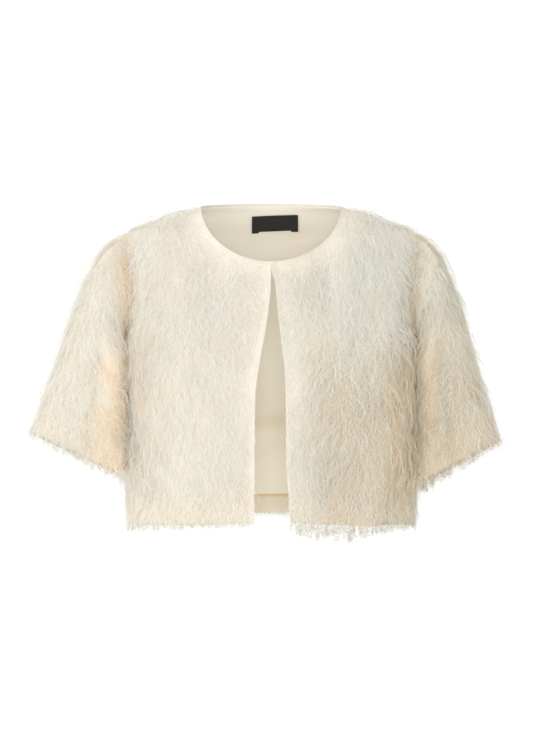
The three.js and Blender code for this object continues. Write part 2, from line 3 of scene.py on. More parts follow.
import bmesh
import bpy
import numpy as np
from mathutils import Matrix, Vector


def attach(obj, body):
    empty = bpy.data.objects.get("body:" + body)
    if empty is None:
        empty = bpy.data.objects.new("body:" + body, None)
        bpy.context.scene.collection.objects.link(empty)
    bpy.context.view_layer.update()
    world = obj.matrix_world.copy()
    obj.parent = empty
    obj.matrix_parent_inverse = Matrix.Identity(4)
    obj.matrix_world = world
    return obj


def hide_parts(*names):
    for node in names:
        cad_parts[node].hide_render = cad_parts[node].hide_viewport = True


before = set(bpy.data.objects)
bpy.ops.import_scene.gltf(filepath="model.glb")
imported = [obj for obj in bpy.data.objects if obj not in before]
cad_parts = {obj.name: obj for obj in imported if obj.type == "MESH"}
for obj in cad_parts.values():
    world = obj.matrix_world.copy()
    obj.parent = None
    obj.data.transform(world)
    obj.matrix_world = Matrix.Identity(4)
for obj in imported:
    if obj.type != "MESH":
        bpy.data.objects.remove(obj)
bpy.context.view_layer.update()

# A cropped jacket in thread-pile cloth, worn open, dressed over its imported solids.
# The form is worked out in millimetres, and meshes are in metres.
metre = 0.001

form = {
    "neckHalf": 89, "neckDrop": 66, "neckRoundness": 1.1, "shoulderTip": 181,
    "armholeTop": -30, "armholeBottom": -204, "reachFront": 33, "reachBack": 27,
    "sideHem": -406, "frontHemLift": 16, "facingDepth": 26,
    "sideRows": 7, "armholeRows": 10, "shoulderRows": 4, "openRows": 3,
    "shoulderCurve": 1.35, "backDip": 12, "backColumns": 20,
    "pileDepth": 3.4,  # the ground cloth lies this far under the solid's face
    "clothWall": 1.5,
}
bodyMiddle = [0, -64, 0]  # a spot on the upright line that the body goes round
# How far the walls beside an armhole turn to their shared direction, from its edge inwards
mitreShares = {"body": (1.0, 0.55, 0.25), "sleeve": (1.0, 0.6, 0.25)}

# Horizontal sections of the body: half width, and y of the front, side and back
bodySections = {
    "key": [-406, -300, -240, -200, -160, -110, -66, -45, -30, -19, -6, 0],
    "half": [186, 186, 186, 187, 188.5, 190, 189, 187, 181, 151, 120, 89],
    "front": [-179, -183, -181, -173, -158, -132, -111, -101, -93, -85, -72, -64],
    "side": [-66, -66, -66, -65, -64, -62, -61, -60.5, -60, -57.4, -54.7, -52],
    "back": [34, 37, 38, 38, 37, 34, 28, 23, 17, 12, 5, 0],
    "frontShape": [2.5, 2.6, 2.8, 3.1, 3.3, 3.3, 3.0, 2.8, 2.6, 2.5, 2.4, 2.3],
    "backShape": [2.5, 2.6, 2.8, 3.0, 3.2, 3.2, 3.0, 2.8, 2.6, 2.5, 2.3, 2.2],
}
# How far each front edge lies from the centre line, by height
frontEdges = {
    "key": [-390, -290, -230, -192, -151, -111, -96, -84, -79, -66],
    "right": [21.5, 21, 20, 15.2, 7.6, 1.8, 0.5, 0.4, 0.4, 0.4],
    "left": [23.5, 18.8, 18, 16.3, 11, 6.8, 5.2, 3.8, 0.8, 0.4],
}
# Sections of a sleeve by row, from its head to the cuff
sleeveSections = {
    "key": list(range(10)),
    "over": [0, 14, 29, 42, 55, 68, 82, 96, 112, 129],
    "overZ": [-30, -36, -47, -65, -91, -121, -160, -203, -246, -289],
    "under": [6, 10, 11, 11, 10.5, 10, 9.5, 9, 8.5, 8],
    "underZ": [-204, -212, -222, -235, -250, -267, -286, -305, -325, -344],
    "deep": [53, 55, 57, 59, 60, 59, 57, 54, 51, 47],
    "middle": [-62, -62, -63, -64, -66, -68, -70, -72, -75, -77],
    "drop": [0, 0, 0, 1, 2, 3, 5, 7, 9, 10],
}
sleeveSides = {
    "left": {"sign": 1, "swing": 0.88, "cuffShift": -8},
    "right": {"sign": -1, "swing": 1, "cuffShift": 3},
}
sleeveGather = {"keepRows": 4, "span": 75, "pitch": 27, "rise": [0, 1.9, 1.5, 0.8, 0]}
# Soft folds: turn from the front at top and bottom, both heights, width, rise, and if it runs to the hem
bodyFolds = [
    (27, 24, -8, -185, 5, 3.2, False),
    (20, 18, -38, -125, 4, -3, False),
    (-22, -24, -30, -200, 4, -1.8, False),
    (66, 52, -215, -406, 7, -4, True),
    (56, 36, -215, -406, 7, 3, True),
    (-64, -50, -215, -406, 7, -3.5, True),
    (118, 126, -215, -406, 8, 4, True),
    (142, 148, -120, -406, 7, -4, True),
    (-120, -126, -215, -406, 8, 4, True),
    (-143, -152, -110, -406, 7, -3.5, True),
    (172, 176, -90, -406, 8, 3, True),
]


def tableAt(table, column, at):
    # a smooth curve through the table's rows
    keys, values = np.array(table["key"], float), np.array(table[column], float)
    slopes = np.diff(values) / np.diff(keys)
    before, after = slopes[:-1], slopes[1:]
    same = before * after > 0
    inner = np.where(same, 2 * before * after / np.where(same, before + after, 1), 0)
    tangents = np.concatenate([slopes[:1], inner, slopes[-1:]])
    at = np.asarray(at, float)
    k = np.clip(np.searchsorted(keys, at) - 1, 0, len(keys) - 2)
    span = keys[k + 1] - keys[k]
    t = np.clip((at - keys[k]) / span, 0, 1)
    rise = t * t * (3 - 2 * t)
    bend = span * t * (1 - t) * ((1 - t) * tangents[k] - t * tangents[k + 1])
    return values[k] * (1 - rise) + values[k + 1] * rise + bend


def unit(vectors):
    return vectors / np.maximum(np.linalg.norm(vectors, axis=-1, keepdims=True), 1e-9)


def dot(a, b):
    return (a * b).sum(-1, keepdims=True)


def smooth(value, low, high):
    t = np.clip((value - low) / (high - low), 0, 1)
    return t * t * (3 - 2 * t)


def foldRise(turn, z):
    total = np.zeros(np.broadcast(turn, z).shape)
    for turnTop, turnBottom, top, bottom, width, rise, toHem in bodyFolds:
        t = (top - z) / (top - bottom)
        share = np.clip(t, 0, 1)
        away = (turn - (turnTop + (turnBottom - turnTop) * share) + 180) % 360 - 180
        fade = np.sin(np.pi * (share / 2 if toHem else share))
        total = total + rise * fade * np.exp(-((away / width) ** 2))
    return total


def formPoint(turn, z):
    turn, z = np.broadcast_arrays(np.asarray(turn, float), np.asarray(z, float))
    sine, cosine = np.sin(np.radians(turn)), np.cos(np.radians(turn))
    isFront = cosine > 0
    shape = np.where(isFront, tableAt(bodySections, "frontShape", z), tableAt(bodySections, "backShape", z))
    end = np.where(isFront, tableAt(bodySections, "front", z), tableAt(bodySections, "back", z))
    side = tableAt(bodySections, "side", z)
    scale = (np.abs(sine) ** shape + np.abs(cosine) ** shape) ** (-1 / shape)
    x = tableAt(bodySections, "half", z) * sine * scale
    return np.stack([x, side - np.abs(end - side) * cosine * scale, z], -1)


def bodyNormal(turn, z):
    step = 0.5
    across = formPoint(turn + step, z) - formPoint(turn - step, z)
    up = formPoint(turn, np.minimum(z + step, 0)) - formPoint(turn, np.maximum(z - step, form["sideHem"]))
    return unit(np.cross(across, up))


def bodyPoint(turn, z):
    return formPoint(turn, z) + bodyNormal(turn, z) * foldRise(turn, z)[..., None]


def turnAtX(x, z):
    shape = tableAt(bodySections, "frontShape", z)
    share = np.minimum(x / tableAt(bodySections, "half", z), 1)
    return np.degrees(np.arctan2(share, np.maximum(1 - share ** shape, 0) ** (1 / shape)))


def armholeSpot(angle):
    middle = (form["armholeTop"] + form["armholeBottom"]) / 2
    angle = np.asarray(angle, float) % 360
    reach = np.where(angle <= 180, form["reachFront"], form["reachBack"])
    z = middle + (form["armholeTop"] - middle) * np.cos(np.radians(angle))
    return 90 - reach * np.sin(np.radians(angle)), z


def sleeveSection(side, row, angle):
    row, angle = np.broadcast_arrays(np.asarray(row, float), np.asarray(angle, float))
    values = {name: tableAt(sleeveSections, name, row) for name in sleeveSections if name != "key"}
    lower = side["cuffShift"] * (row / 9) ** 2
    share = (1 + np.cos(np.radians(angle))) / 2
    sine = np.sin(np.radians(angle))
    x = form["shoulderTip"] + values["under"] * (1 - share) + values["over"] * side["swing"] * share
    z = lower + values["underZ"] * (1 - share) + values["overZ"] * share + values["drop"] * sine
    return np.stack([x * side["sign"], values["middle"] - values["deep"] * sine, z], -1)


def sleevePoint(side, row, angle):
    row, angle = np.broadcast_arrays(np.asarray(row, float), np.asarray(angle, float))
    turn, z = armholeSpot(angle)
    keep = np.clip(1 - row / sleeveGather["keepRows"], 0, 1)[..., None] ** 2
    start = bodyPoint(side["sign"] * turn, z) - sleeveSection(side, 0 * row, angle)
    point = sleeveSection(side, row, angle) + start * keep
    fromTop = (angle + 180) % 360 - 180
    fade = np.where(np.abs(fromTop) < sleeveGather["span"],
                    np.cos(np.radians(fromTop * 90 / sleeveGather["span"])), 0)
    wave = np.cos(np.radians(fromTop * 360 / sleeveGather["pitch"]))
    rise = np.interp(row, range(len(sleeveGather["rise"])), sleeveGather["rise"])
    outward = unit(point - sleeveSection(side, row, angle + 180))
    return point + outward * (rise * wave * fade)[..., None]


def fineSteps(last, perStep):
    return np.linspace(0, last, last * perStep + 1)


# Shares across a front, closer together beside its clean edge
edgeShares = np.concatenate([[0, .003, .007, .012, .018, .026, .032, .036, .04, .044, .05, .06, .075],
                             np.linspace(.095, 1, 50)])


def sideZ(row):
    facingTop = form["sideHem"] + form["facingDepth"]
    above = facingTop + (form["armholeBottom"] - facingTop) * (row - 1) / (form["sideRows"] - 1)
    return np.where(row < 1, form["sideHem"] + form["facingDepth"] * row, above)


def frontSpots(sideName, rows):
    # turn and z of a front's inner boundary, from the hem up the front edge and round the neckline
    low, z0, z1 = form["sideRows"], form["armholeBottom"], -form["neckDrop"]
    side = sideZ(np.minimum(rows, low))
    lifted = side + form["frontHemLift"] * (side - z0) / (form["sideHem"] - z0)
    up = z0 + (z1 - z0) * np.clip((rows - low) / form["openRows"], 0, 1)
    z = np.where(rows <= low, lifted, up)
    turn = turnAtX(tableAt(frontEdges, sideName, z), z)
    neckRows = form["armholeRows"] - form["openRows"]
    angle = np.radians(90 * (1 - np.clip((rows - low - form["openRows"]) / neckRows, 0, 1)))
    neckZ = -form["neckDrop"] * np.sin(angle) ** form["neckRoundness"]
    isNeck = rows > low + form["openRows"]
    neckTurn = turnAtX(form["neckHalf"] * np.cos(angle), neckZ)
    return np.where(isNeck, neckTurn, turn), np.where(isNeck, neckZ, z)


def outerSpots(rows, isBack):
    # turn and z of the side seam, then of the armhole up to the shoulder tip, and how far round that is
    share = np.clip((rows - form["sideRows"]) / form["armholeRows"], 0, 1)
    angle = 180 * share + 180 if isBack else 180 - 180 * share
    turn, z = armholeSpot(np.where(share >= 1, 0, angle))
    low = rows <= form["sideRows"]
    return np.where(low, 90, turn), np.where(low, sideZ(np.minimum(rows, form["sideRows"])), z), angle


def gradient(points, axis, isRing):
    if isRing and axis == 1:
        return (np.roll(points, -1, 1) - np.roll(points, 1, 1)) / 2
    return np.gradient(points, axis=axis)


def lengthsAlong(points, axis):
    steps = np.linalg.norm(np.diff(points, axis=axis), axis=-1)
    start = np.zeros_like(np.take(steps, [0], axis))
    return np.concatenate([start, np.cumsum(steps, axis)], axis)


def panelOf(points, middle, isRing=False):
    # a grid of points with its outward normals
    normals = unit(np.cross(gradient(points, 1, isRing), gradient(points, 0, isRing)))
    if dot(normals, points - middle).mean() < 0:
        normals = -normals
    return {"points": points, "normals": normals, "isRing": isRing}


def mitre(sideName, angle):
    # body and sleeve walls go inwards in one shared direction along the armhole
    side = sleeveSides[sideName]
    turn, z = armholeSpot(angle)
    around = sleevePoint(side, 0, angle + 4) - sleevePoint(side, 0, angle - 4)
    along = sleevePoint(side, 0.6, angle) - sleevePoint(side, 0, angle)
    sleeveNormal = unit(np.cross(around, along) * side["sign"])
    return unit(bodyNormal(side["sign"] * turn, z) + sleeveNormal)


def turnEdge(panel, columns, shared, onArmhole):
    for column, part in zip(columns, mitreShares["body"]):
        mixed = unit(panel["normals"][:, column] * (1 - part) + shared * part)
        panel["normals"][onArmhole, column] = mixed[onArmhole]


def frontPanel(sideName):
    sign = sleeveSides[sideName]["sign"]
    rows = fineSteps(form["sideRows"] + form["armholeRows"], 4)[:, None]
    (turnIn, zIn), (turnOut, zOut, angle) = frontSpots(sideName, rows), outerSpots(rows, False)
    share = edgeShares[None, :]
    turn, z = turnIn + (turnOut - turnIn) * share, zIn + (zOut - zIn) * share
    points = bodyPoint(sign * turn, z)
    panel = panelOf(points, points * [0, 0, 1] + bodyMiddle)
    onArmhole = rows[:, 0] >= form["sideRows"]
    turnEdge(panel, (-1, -2, -3), mitre(sideName, angle[:, 0]), onArmhole)
    panel["edge"] = panel["across"] = lengthsAlong(points, 1)
    panel["hem"] = lengthsAlong(points, 0)
    panel["fold"] = foldRise(sign * turn, z)
    far = panel["edge"][:, -1:] - panel["edge"]
    panel["seam"] = np.where(onArmhole[:, None], far, 99)
    return panel


def backPanel():
    tipRow = form["sideRows"] + form["armholeRows"]
    last = tipRow + form["shoulderRows"]
    closer = last - 1 + np.array([.25, .5, .7, .82, .9, .95, .98, 1])  # rows beside the clean neck edge
    rows = np.concatenate([fineSteps(last - 1, 4), closer])[:, None]
    turnOut, zOut, angle = outerSpots(rows, True)
    over = np.clip((rows - tipRow) / form["shoulderRows"], 0, 1)
    turnOut = np.where(rows > tipRow, 90, turnOut)
    zOut = np.where(rows > tipRow, form["armholeTop"] * (1 - over) ** form["shoulderCurve"], zOut)
    tipMiddle = form["armholeTop"] - form["backDip"]
    climb = (rows - form["sideRows"]) / form["armholeRows"]
    middle = form["armholeBottom"] + (tipMiddle - form["armholeBottom"]) * climb
    middle = np.where(rows < form["sideRows"], zOut, middle)
    middle = np.where(rows > tipRow, tipMiddle * zOut / form["armholeTop"], middle)
    column = np.linspace(0, form["backColumns"], 81)[None, :]
    share = np.minimum(column, form["backColumns"] - column) / (form["backColumns"] / 2)
    half = turnOut + (180 - turnOut) * share
    turn = np.where(column <= form["backColumns"] / 2, half, 360 - half)
    points = bodyPoint(turn, zOut + (middle - zOut) * share)
    panel = panelOf(points, points * [0, 0, 1] + bodyMiddle)
    panel["plainNormals"] = panel["normals"].copy()
    onArmhole = (rows[:, 0] >= form["sideRows"]) & (rows[:, 0] <= tipRow)
    for sideName, columns in (("left", (0, 1, 2)), ("right", (-1, -2, -3))):
        turnEdge(panel, columns, mitre(sideName, angle[:, 0]), onArmhole)
    across = lengthsAlong(points, 1)
    up = lengthsAlong(points, 0)
    panel["edge"] = up[-1:] - up
    panel["hem"] = up
    panel["fold"] = 0 * up
    panel["seam"] = np.where(onArmhole[:, None], np.minimum(across, across[:, -1:] - across), 99)
    panel["rows"], panel["across"] = rows[:, 0], across
    return panel


def sleevePanel(sideName):
    side = sleeveSides[sideName]
    rows = fineSteps(9, 6)[:, None]
    angle = np.linspace(0, 360, 81)[None, :-1]
    points = sleevePoint(side, rows, angle)
    panel = panelOf(points, points.mean(1, keepdims=True), True)
    shared = mitre(sideName, angle[0])
    for row, part in enumerate(mitreShares["sleeve"]):
        panel["normals"][row] = unit(panel["normals"][row] * (1 - part) + shared * part)
    down = lengthsAlong(points, 0)
    panel["seam"] = down
    panel["hem"] = down[-1:] - down
    panel["edge"] = np.full(down.shape, 99.0)
    panel["fold"] = 0 * down
    panel["across"] = lengthsAlong(points, 1)
    return panel


def finishPiece(obj, material, replaced=()):
    obj.data.materials.clear()
    obj.data.materials.append(material)
    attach(obj, "root")
    if replaced:
        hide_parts(*replaced)
    return obj


def clothShell(name, outer, inner, isRing=False, **marks):
    # a thin closed wall between two grids of points, from a flat grid that is bent and extruded
    rows, columns = outer.shape[:2]
    if isRing:
        outer, inner = (np.concatenate([grid, grid[:, :1]], 1) for grid in (outer, inner))
        columns += 1
    across, up = lengthsAlong(outer, 1), lengthsAlong(outer, 0)
    bm = bmesh.new()
    uv = bm.loops.layers.uv.new("cut")
    bmesh.ops.create_grid(bm, x_segments=columns - 1, y_segments=rows - 1, size=1)
    spotLayer = bm.verts.layers.int.new("spot")
    markLayers = {mark: bm.verts.layers.float.new(mark) for mark in marks}
    for vert in bm.verts:
        column = round((vert.co.x + 1) / 2 * (columns - 1))
        row = round((vert.co.y + 1) / 2 * (rows - 1))
        vert[spotLayer] = row * columns + column
        for mark, grid in marks.items():
            vert[markLayers[mark]] = grid[row, column % grid.shape[1]]
    for face in bm.faces:
        for loop in face.loops:
            row, column = divmod(loop.vert[spotLayer], columns)
            loop[uv].uv = (across[row, column] * metre, up[row, column] * metre)
    far = outer.reshape(-1, 3) * metre
    near = inner.reshape(-1, 3) * metre
    made = bmesh.ops.extrude_face_region(bm, geom=bm.faces[:], use_keep_orig=True)["geom"]
    lower = {vert for vert in made if isinstance(vert, bmesh.types.BMVert)}
    for vert in bm.verts:
        vert.co = (near if vert in lower else far)[vert[spotLayer]]
    if isRing:
        # a ring's first and last columns meet, so the two walls across them go
        ends = [face for face in bm.faces if len({vert[spotLayer] % columns for vert in face.verts}) == 1]
        bmesh.ops.delete(bm, geom=ends, context="FACES_ONLY")
        bmesh.ops.remove_doubles(bm, verts=bm.verts[:], dist=1e-6)
    bmesh.ops.recalc_face_normals(bm, faces=bm.faces[:])
    for face in bm.faces:
        face.smooth = True
    mesh = bpy.data.meshes.new(name)
    bm.to_mesh(mesh)
    bm.free()
    mesh.set_sharp_from_angle(angle=math.radians(50))
    obj = bpy.data.objects.new(name, mesh)
    bpy.context.scene.collection.objects.link(obj)
    return obj


def at(grid, row, column, isRing):
    # bilinear value of a grid between its rows and columns, carried on past its ends
    rows, columns = grid.shape[:2]
    low = np.clip(np.floor(row).astype(int), 0, rows - 2)
    near = np.floor(column).astype(int)
    near = near if isRing else np.clip(near, 0, columns - 2)
    up, across = row - low, column - near
    if grid.ndim == 3:
        up, across = up[:, None], across[:, None]
    near, nextOne = (near % columns, (near + 1) % columns) if isRing else (near, near + 1)
    lower = grid[low, near] * (1 - across) + grid[low, nextOne] * across
    upper = grid[low + 1, near] * (1 - across) + grid[low + 1, nextOne] * across
    return lower * (1 - up) + upper * up


def walkDown(panel, row, column, lengths, lean, steps, hangsAt):
    # paths that run down a panel's surface; lean turns them to the viewer's right
    points, normals, isRing = panel["points"], panel["normals"], panel["isRing"]
    rows, columns = points.shape[:2]
    row, column = row.copy(), column.copy()
    down = np.array([0, 0, -1.0])
    path, out, sides, under = [], [], [], []
    for k in range(steps + 1):
        here = at(points, row, column, isRing)
        normal = unit(at(normals, np.clip(row, 0, rows - 1), column, isRing))
        alongRow = at(points, row + 0.3, column, isRing) - at(points, row - 0.3, column, isRing)
        alongColumn = at(points, row, column + 0.3, isRing) - at(points, row, column - 0.3, isRing)
        alongRow, alongColumn = alongRow / 0.6, alongColumn / 0.6
        steep = unit(down - dot(down, normal) * normal)
        side = np.cross(normal, steep)
        way = steep * np.cos(lean)[:, None] + side * np.sin(lean)[:, None]
        path.append(here)
        under.append(at(panel["lift"], row, column, isRing))
        out.append(normal)
        sides.append(np.cross(normal, way))
        step = way * (lengths / steps)[:, None]
        rr, cc, rc = dot(alongRow, alongRow), dot(alongColumn, alongColumn), dot(alongRow, alongColumn)
        fr, fc = dot(step, alongRow), dot(step, alongColumn)
        spread = np.maximum(rr * cc - rc * rc, 1e-6)
        row = row + np.clip((fr * cc - fc * rc) / spread, -2, 2)[:, 0]
        column = column + np.clip((fc * rr - fr * rc) / spread, -2, 2)[:, 0]
        row = np.minimum(row, rows - 1) if hangsAt == "first" else np.maximum(row, 0)
        if not isRing:
            column = np.clip(column, 0.4, columns - 1.4)
    return [np.stack(grids, 1) for grids in (path, out, sides, under)]


def softNoise(points, size, seed):
    # smooth random values from -1 to 1 over space
    rng = np.random.default_rng(seed)
    total = 0
    for _ in range(5):
        way = unit(rng.normal(size=3)) * (2 * np.pi / size) * rng.uniform(0.6, 1.5)
        total = total + np.sin(points @ way + rng.uniform(0, 2 * np.pi))
    return total / 2.6


def ribbons(name, centre, across, width, tone):
    # narrow strips along the paths, joined in one mesh; UV holds the place along a thread and its tone
    count, spots = centre.shape[:2]
    taper = 1 - 0.45 * np.linspace(0, 1, spots) ** 2
    half = across * (width[:, None] / 2 * taper)[..., None]
    points = np.stack([centre - half, centre + half], 2).reshape(-1, 3) * metre
    first = (np.arange(count)[:, None] * spots + np.arange(spots - 1)) * 2
    faces = np.stack([first, first + 2, first + 3, first + 1], -1).reshape(-1, 4)
    along = np.linspace(0, 1, spots)
    uAt = np.stack([along[:-1], along[1:], along[1:], along[:-1]], -1)
    uv = np.empty((count, spots - 1, 4, 2), np.float32)
    uv[..., 0] = uAt
    uv[..., 1] = tone[:, None, None]
    mesh = bpy.data.meshes.new(name)
    mesh.vertices.add(len(points))
    mesh.vertices.foreach_set("co", points.astype(np.float32).ravel())
    mesh.loops.add(faces.size)
    mesh.loops.foreach_set("vertex_index", faces.astype(np.int32).ravel())
    mesh.polygons.add(len(faces))
    mesh.polygons.foreach_set("loop_start", np.arange(0, faces.size, 4, dtype=np.int32))
    mesh.polygons.foreach_set("use_smooth", np.ones(len(faces), bool))
    mesh.update(calc_edges=True)
    mesh.uv_layers.new(name="thread").data.foreach_set("uv", uv.ravel())
    obj = bpy.data.objects.new(name, mesh)
    bpy.context.scene.collection.objects.link(obj)
    return obj


def spreadRoots(panel, count, density, rng):
    # evenly spread places on a panel, thinned where density is low
    points, isRing = panel["points"], panel["isRing"]
    if isRing:
        points = np.concatenate([points, points[:, :1]], 1)
    one = points[1:, :-1] - points[:-1, :-1]
    two = points[:-1, 1:] - points[:-1, :-1]
    area = np.linalg.norm(np.cross(one, two), axis=-1) * density[:-1, : one.shape[1]]
    total = np.cumsum(area.ravel())
    pick = np.searchsorted(total, (np.arange(count) + rng.random(count)) / count * total[-1])
    row, column = np.divmod(np.minimum(pick, area.size - 1), area.shape[1])
    return row + rng.random(count), column + rng.random(count)


pileLooks = {
    "liftLow": -1.5, "liftHigh": 0.9,  # of a thread's end, from the solid's face
    "flyLift": 8, "flyBend": 2.0, "flyCurl": 3,  # of the loose threads that stand out
    "rootDepth": 0.3,  # in the ground cloth
    "swayLow": 0.5, "swayHigh": 1.8, "waveShort": 6.5, "waveLong": 13, "spread": 0.3, "twist": 0.6,
    "width": 0.62, "wisp": 8, "wispPull": 0.7, "wispLift": 1.2, "wispTone": 0.2, "wispWander": 5,
    "tones": (0.3, 0.93),  # the warmest and coolest tone before the peach is taken off
}


def addPile(name, panel, plan, zone):
    # short bent threads laid down over a panel
    rng = np.random.default_rng(plan["seed"])
    count, steps, seed, isRing = plan["count"], plan["steps"], plan["seed"], panel["isRing"]
    row, column = spreadRoots(panel, count, zone["density"], rng)
    here = {key: at(grid, row, column, isRing) for key, grid in zone.items()}
    root = at(panel["points"], row, column, isRing)
    long = here["length"] * rng.uniform(0.6, 1.3, count)
    turn = here["lean"] + 0.2 * softNoise(root, 60, seed) + 0.2 * softNoise(root, 18, seed + 1)
    turn = turn + rng.normal(0, pileLooks["spread"], count)
    path, out, side, under = walkDown(panel, row, column, long, turn, steps, plan["hangs"])
    t = np.linspace(0, 1, steps + 1)[None, :]
    # threads lean together into wisps, whose places wander over the cloth
    points, nearby = panel["points"], 0.3
    rowWay = at(points, row, column + nearby, isRing) - at(points, row, column - nearby, isRing)
    place = at(panel["across"], row, column, isRing) + pileLooks["wispWander"] * softNoise(root, 45, seed + 4)
    fromWisp = place % pileLooks["wisp"] - pileLooks["wisp"] / 2
    pull = -np.sign((rowWay * side[:, 0]).sum(-1)) * fromWisp * here["clump"] * pileLooks["wispPull"]
    inWisp = here["clump"] * (1 - 4 * np.abs(fromWisp) / pileLooks["wisp"])
    isFly = rng.random(count) < plan["flyShare"]
    top = rng.uniform(pileLooks["liftLow"], pileLooks["liftHigh"], count)
    top = top + 0.5 * softNoise(root, 12, seed + 2)
    top = top + here["puff"] * rng.random(count) + isFly * rng.uniform(0.2, 1, count) * pileLooks["flyLift"]
    top = top + pileLooks["wispLift"] * inWisp + here["bulge"]
    short = np.clip(long / 20, 0.25, 1)
    start = under - pileLooks["rootDepth"]
    low = start[:, 0]
    rise = np.maximum(top * short + (low + 1.5) * (1 - short) - low, 0.5)
    lift = start + rise[:, None] * np.minimum(t * 2.4, 1) ** 0.7
    lift = lift + pileLooks["flyBend"] * isFly[:, None] * t ** 2
    along = t * long[:, None]
    sway = 0
    for share, reach in ((1, 1), (0.45, 0.5)):
        length = rng.uniform(pileLooks["waveShort"], pileLooks["waveLong"], count) * share
        phase = rng.uniform(0, 2 * np.pi, count)[:, None]
        size = rng.uniform(pileLooks["swayLow"], pileLooks["swayHigh"], count) * reach * short
        bend = along * 2 * np.pi / length[:, None] + phase
        sway = sway + size[:, None] * (np.sin(bend) - np.sin(phase))
        lift = lift + 0.25 * size[:, None] * np.cos(bend) * np.minimum(t * 3, 1)
    curl = rng.normal(0, np.where(isFly, pileLooks["flyCurl"], 1))[:, None] * t ** 2
    sideways = sway + curl + pull[:, None] * smooth(t, 0, 0.8)
    centre = path + out * lift[..., None] + side * sideways[..., None]
    tangent = unit(np.gradient(centre, axis=1))
    flat = unit(np.cross(out, tangent))
    twist = rng.uniform(-pileLooks["twist"], pileLooks["twist"], count)
    twist = (twist + np.minimum(here["puff"] / 3, 1) * rng.uniform(-1, 1, count))[:, None, None]
    across = flat * np.cos(twist) + np.cross(tangent, flat) * np.sin(twist)
    width = pileLooks["width"] * plan["wide"] * rng.uniform(0.75, 1.25, count) * here["wide"]
    tone = here["tone"] + here["contrast"] * (0.6 * softNoise(root, 26, seed + 3) + rng.normal(0, 1, count))
    tone = tone + pileLooks["wispTone"] * inWisp
    tone = np.clip(np.clip(tone, *pileLooks["tones"]) - here["peach"], 0, 1)
    return ribbons(name, centre, across, width, tone + (1 - tone) * here["pale"])


def nodeMaterial(name, roughness, **sockets):
    material = bpy.data.materials.new(name)
    material.use_nodes = True
    shader = material.node_tree.nodes["Principled BSDF"]
    shader.inputs["Roughness"].default_value = roughness
    for socket, value in sockets.items():
        shader.inputs[socket.replace("_", " ")].default_value = value
    return material, material.node_tree.nodes, material.node_tree.links, shader


def ramp(nodes, links, value, stops):
    node = nodes.new("ShaderNodeValToRGB")
    links.new(value, node.inputs[0])
    while len(node.color_ramp.elements) < len(stops):
        node.color_ramp.elements.new(0.5)
    for element, (place, colour) in zip(node.color_ramp.elements, stops):
        element.position = place
        element.color = (*colour, 1)
    return node.outputs[0]


def feed(links, sockets, values):
    for socket, value in zip(sockets, values):
        if isinstance(value, bpy.types.NodeSocket):
            links.new(value, socket)
        else:
            socket.default_value = value


def mixColour(nodes, links, one, two, blend="MULTIPLY", factor=1.0):
    node = nodes.new("ShaderNodeMix")
    node.data_type = "RGBA"
    node.blend_type = blend
    feed(links, (node.inputs[0], node.inputs[6], node.inputs[7]), (factor, one, two))
    return node.outputs[2]


def noiseAt(nodes, links, coordinates, scale, detail=3):
    node = nodes.new("ShaderNodeTexNoise")
    node.inputs["Scale"].default_value = scale
    node.inputs["Detail"].default_value = detail
    links.new(coordinates, node.inputs["Vector"])
    return node.outputs["Fac"]


def uvOf(nodes, name):
    node = nodes.new("ShaderNodeUVMap")
    node.uv_map = name
    return node.outputs["UV"]


def attributeOf(nodes, name):
    node = nodes.new("ShaderNodeAttribute")
    node.attribute_name = name
    return node.outputs["Fac"]


def bump(nodes, links, shader, height, strength, distance):
    node = nodes.new("ShaderNodeBump")
    node.inputs["Strength"].default_value = strength
    node.inputs["Distance"].default_value = distance
    links.new(height, node.inputs["Height"])
    links.new(node.outputs["Normal"], shader.inputs["Normal"])


def wave(nodes, links, coordinates, scale, direction):
    node = nodes.new("ShaderNodeTexWave")
    node.bands_direction = direction
    node.inputs["Scale"].default_value = scale
    node.inputs["Distortion"].default_value = 0.4
    links.new(coordinates, node.inputs["Vector"])
    return node.outputs["Fac"]


def product(nodes, links, one, two):
    node = nodes.new("ShaderNodeMath")
    node.operation = "MULTIPLY"
    feed(links, node.inputs, (one, two))
    return node.outputs[0]


def pileMaterial(name, rootColour, peach, warm, cool, pale=(0.99, 0.95, 0.87)):
    # along a thread from its root, a little darker at the root as painted shade; and by tone from peach by
    # warm and cool to pale, where peach is painted shade in the valleys and pale is painted light there
    material, nodes, links, shader = nodeMaterial(
        name, 0.8, Sheen_Weight=0.2, Sheen_Roughness=0.6, Specular_IOR_Level=0.2)
    split = nodes.new("ShaderNodeSeparateXYZ")
    links.new(uvOf(nodes, "thread"), split.inputs[0])
    along = ramp(nodes, links, split.outputs[0], [(0, rootColour), (0.35, (1, 1, 1))])
    tones = ramp(nodes, links, split.outputs[1], [(0, peach), (0.3, warm), (0.93, cool), (1, pale)])
    place = nodes.new("ShaderNodeTexCoord").outputs["Object"]
    patches = ramp(nodes, links, noiseAt(nodes, links, place, 22),
                   [(0.35, (1, 1, 1)), (0.7, (0.985, 0.965, 0.93))])
    colour = mixColour(nodes, links, mixColour(nodes, links, along, tones), patches)
    links.new(colour, shader.inputs["Base Color"])
    bump(nodes, links, shader, noiseAt(nodes, links, place, 2600, 2), 0.25, 0.0002)
    through = nodes.new("ShaderNodeBsdfTranslucent")
    links.new(colour, through.inputs["Color"])
    both = nodes.new("ShaderNodeMixShader")
    both.inputs[0].default_value = 0.35
    links.new(shader.outputs[0], both.inputs[1])
    links.new(through.outputs[0], both.inputs[2])
    links.new(both.outputs[0], nodes["Material Output"].inputs["Surface"])
    return material


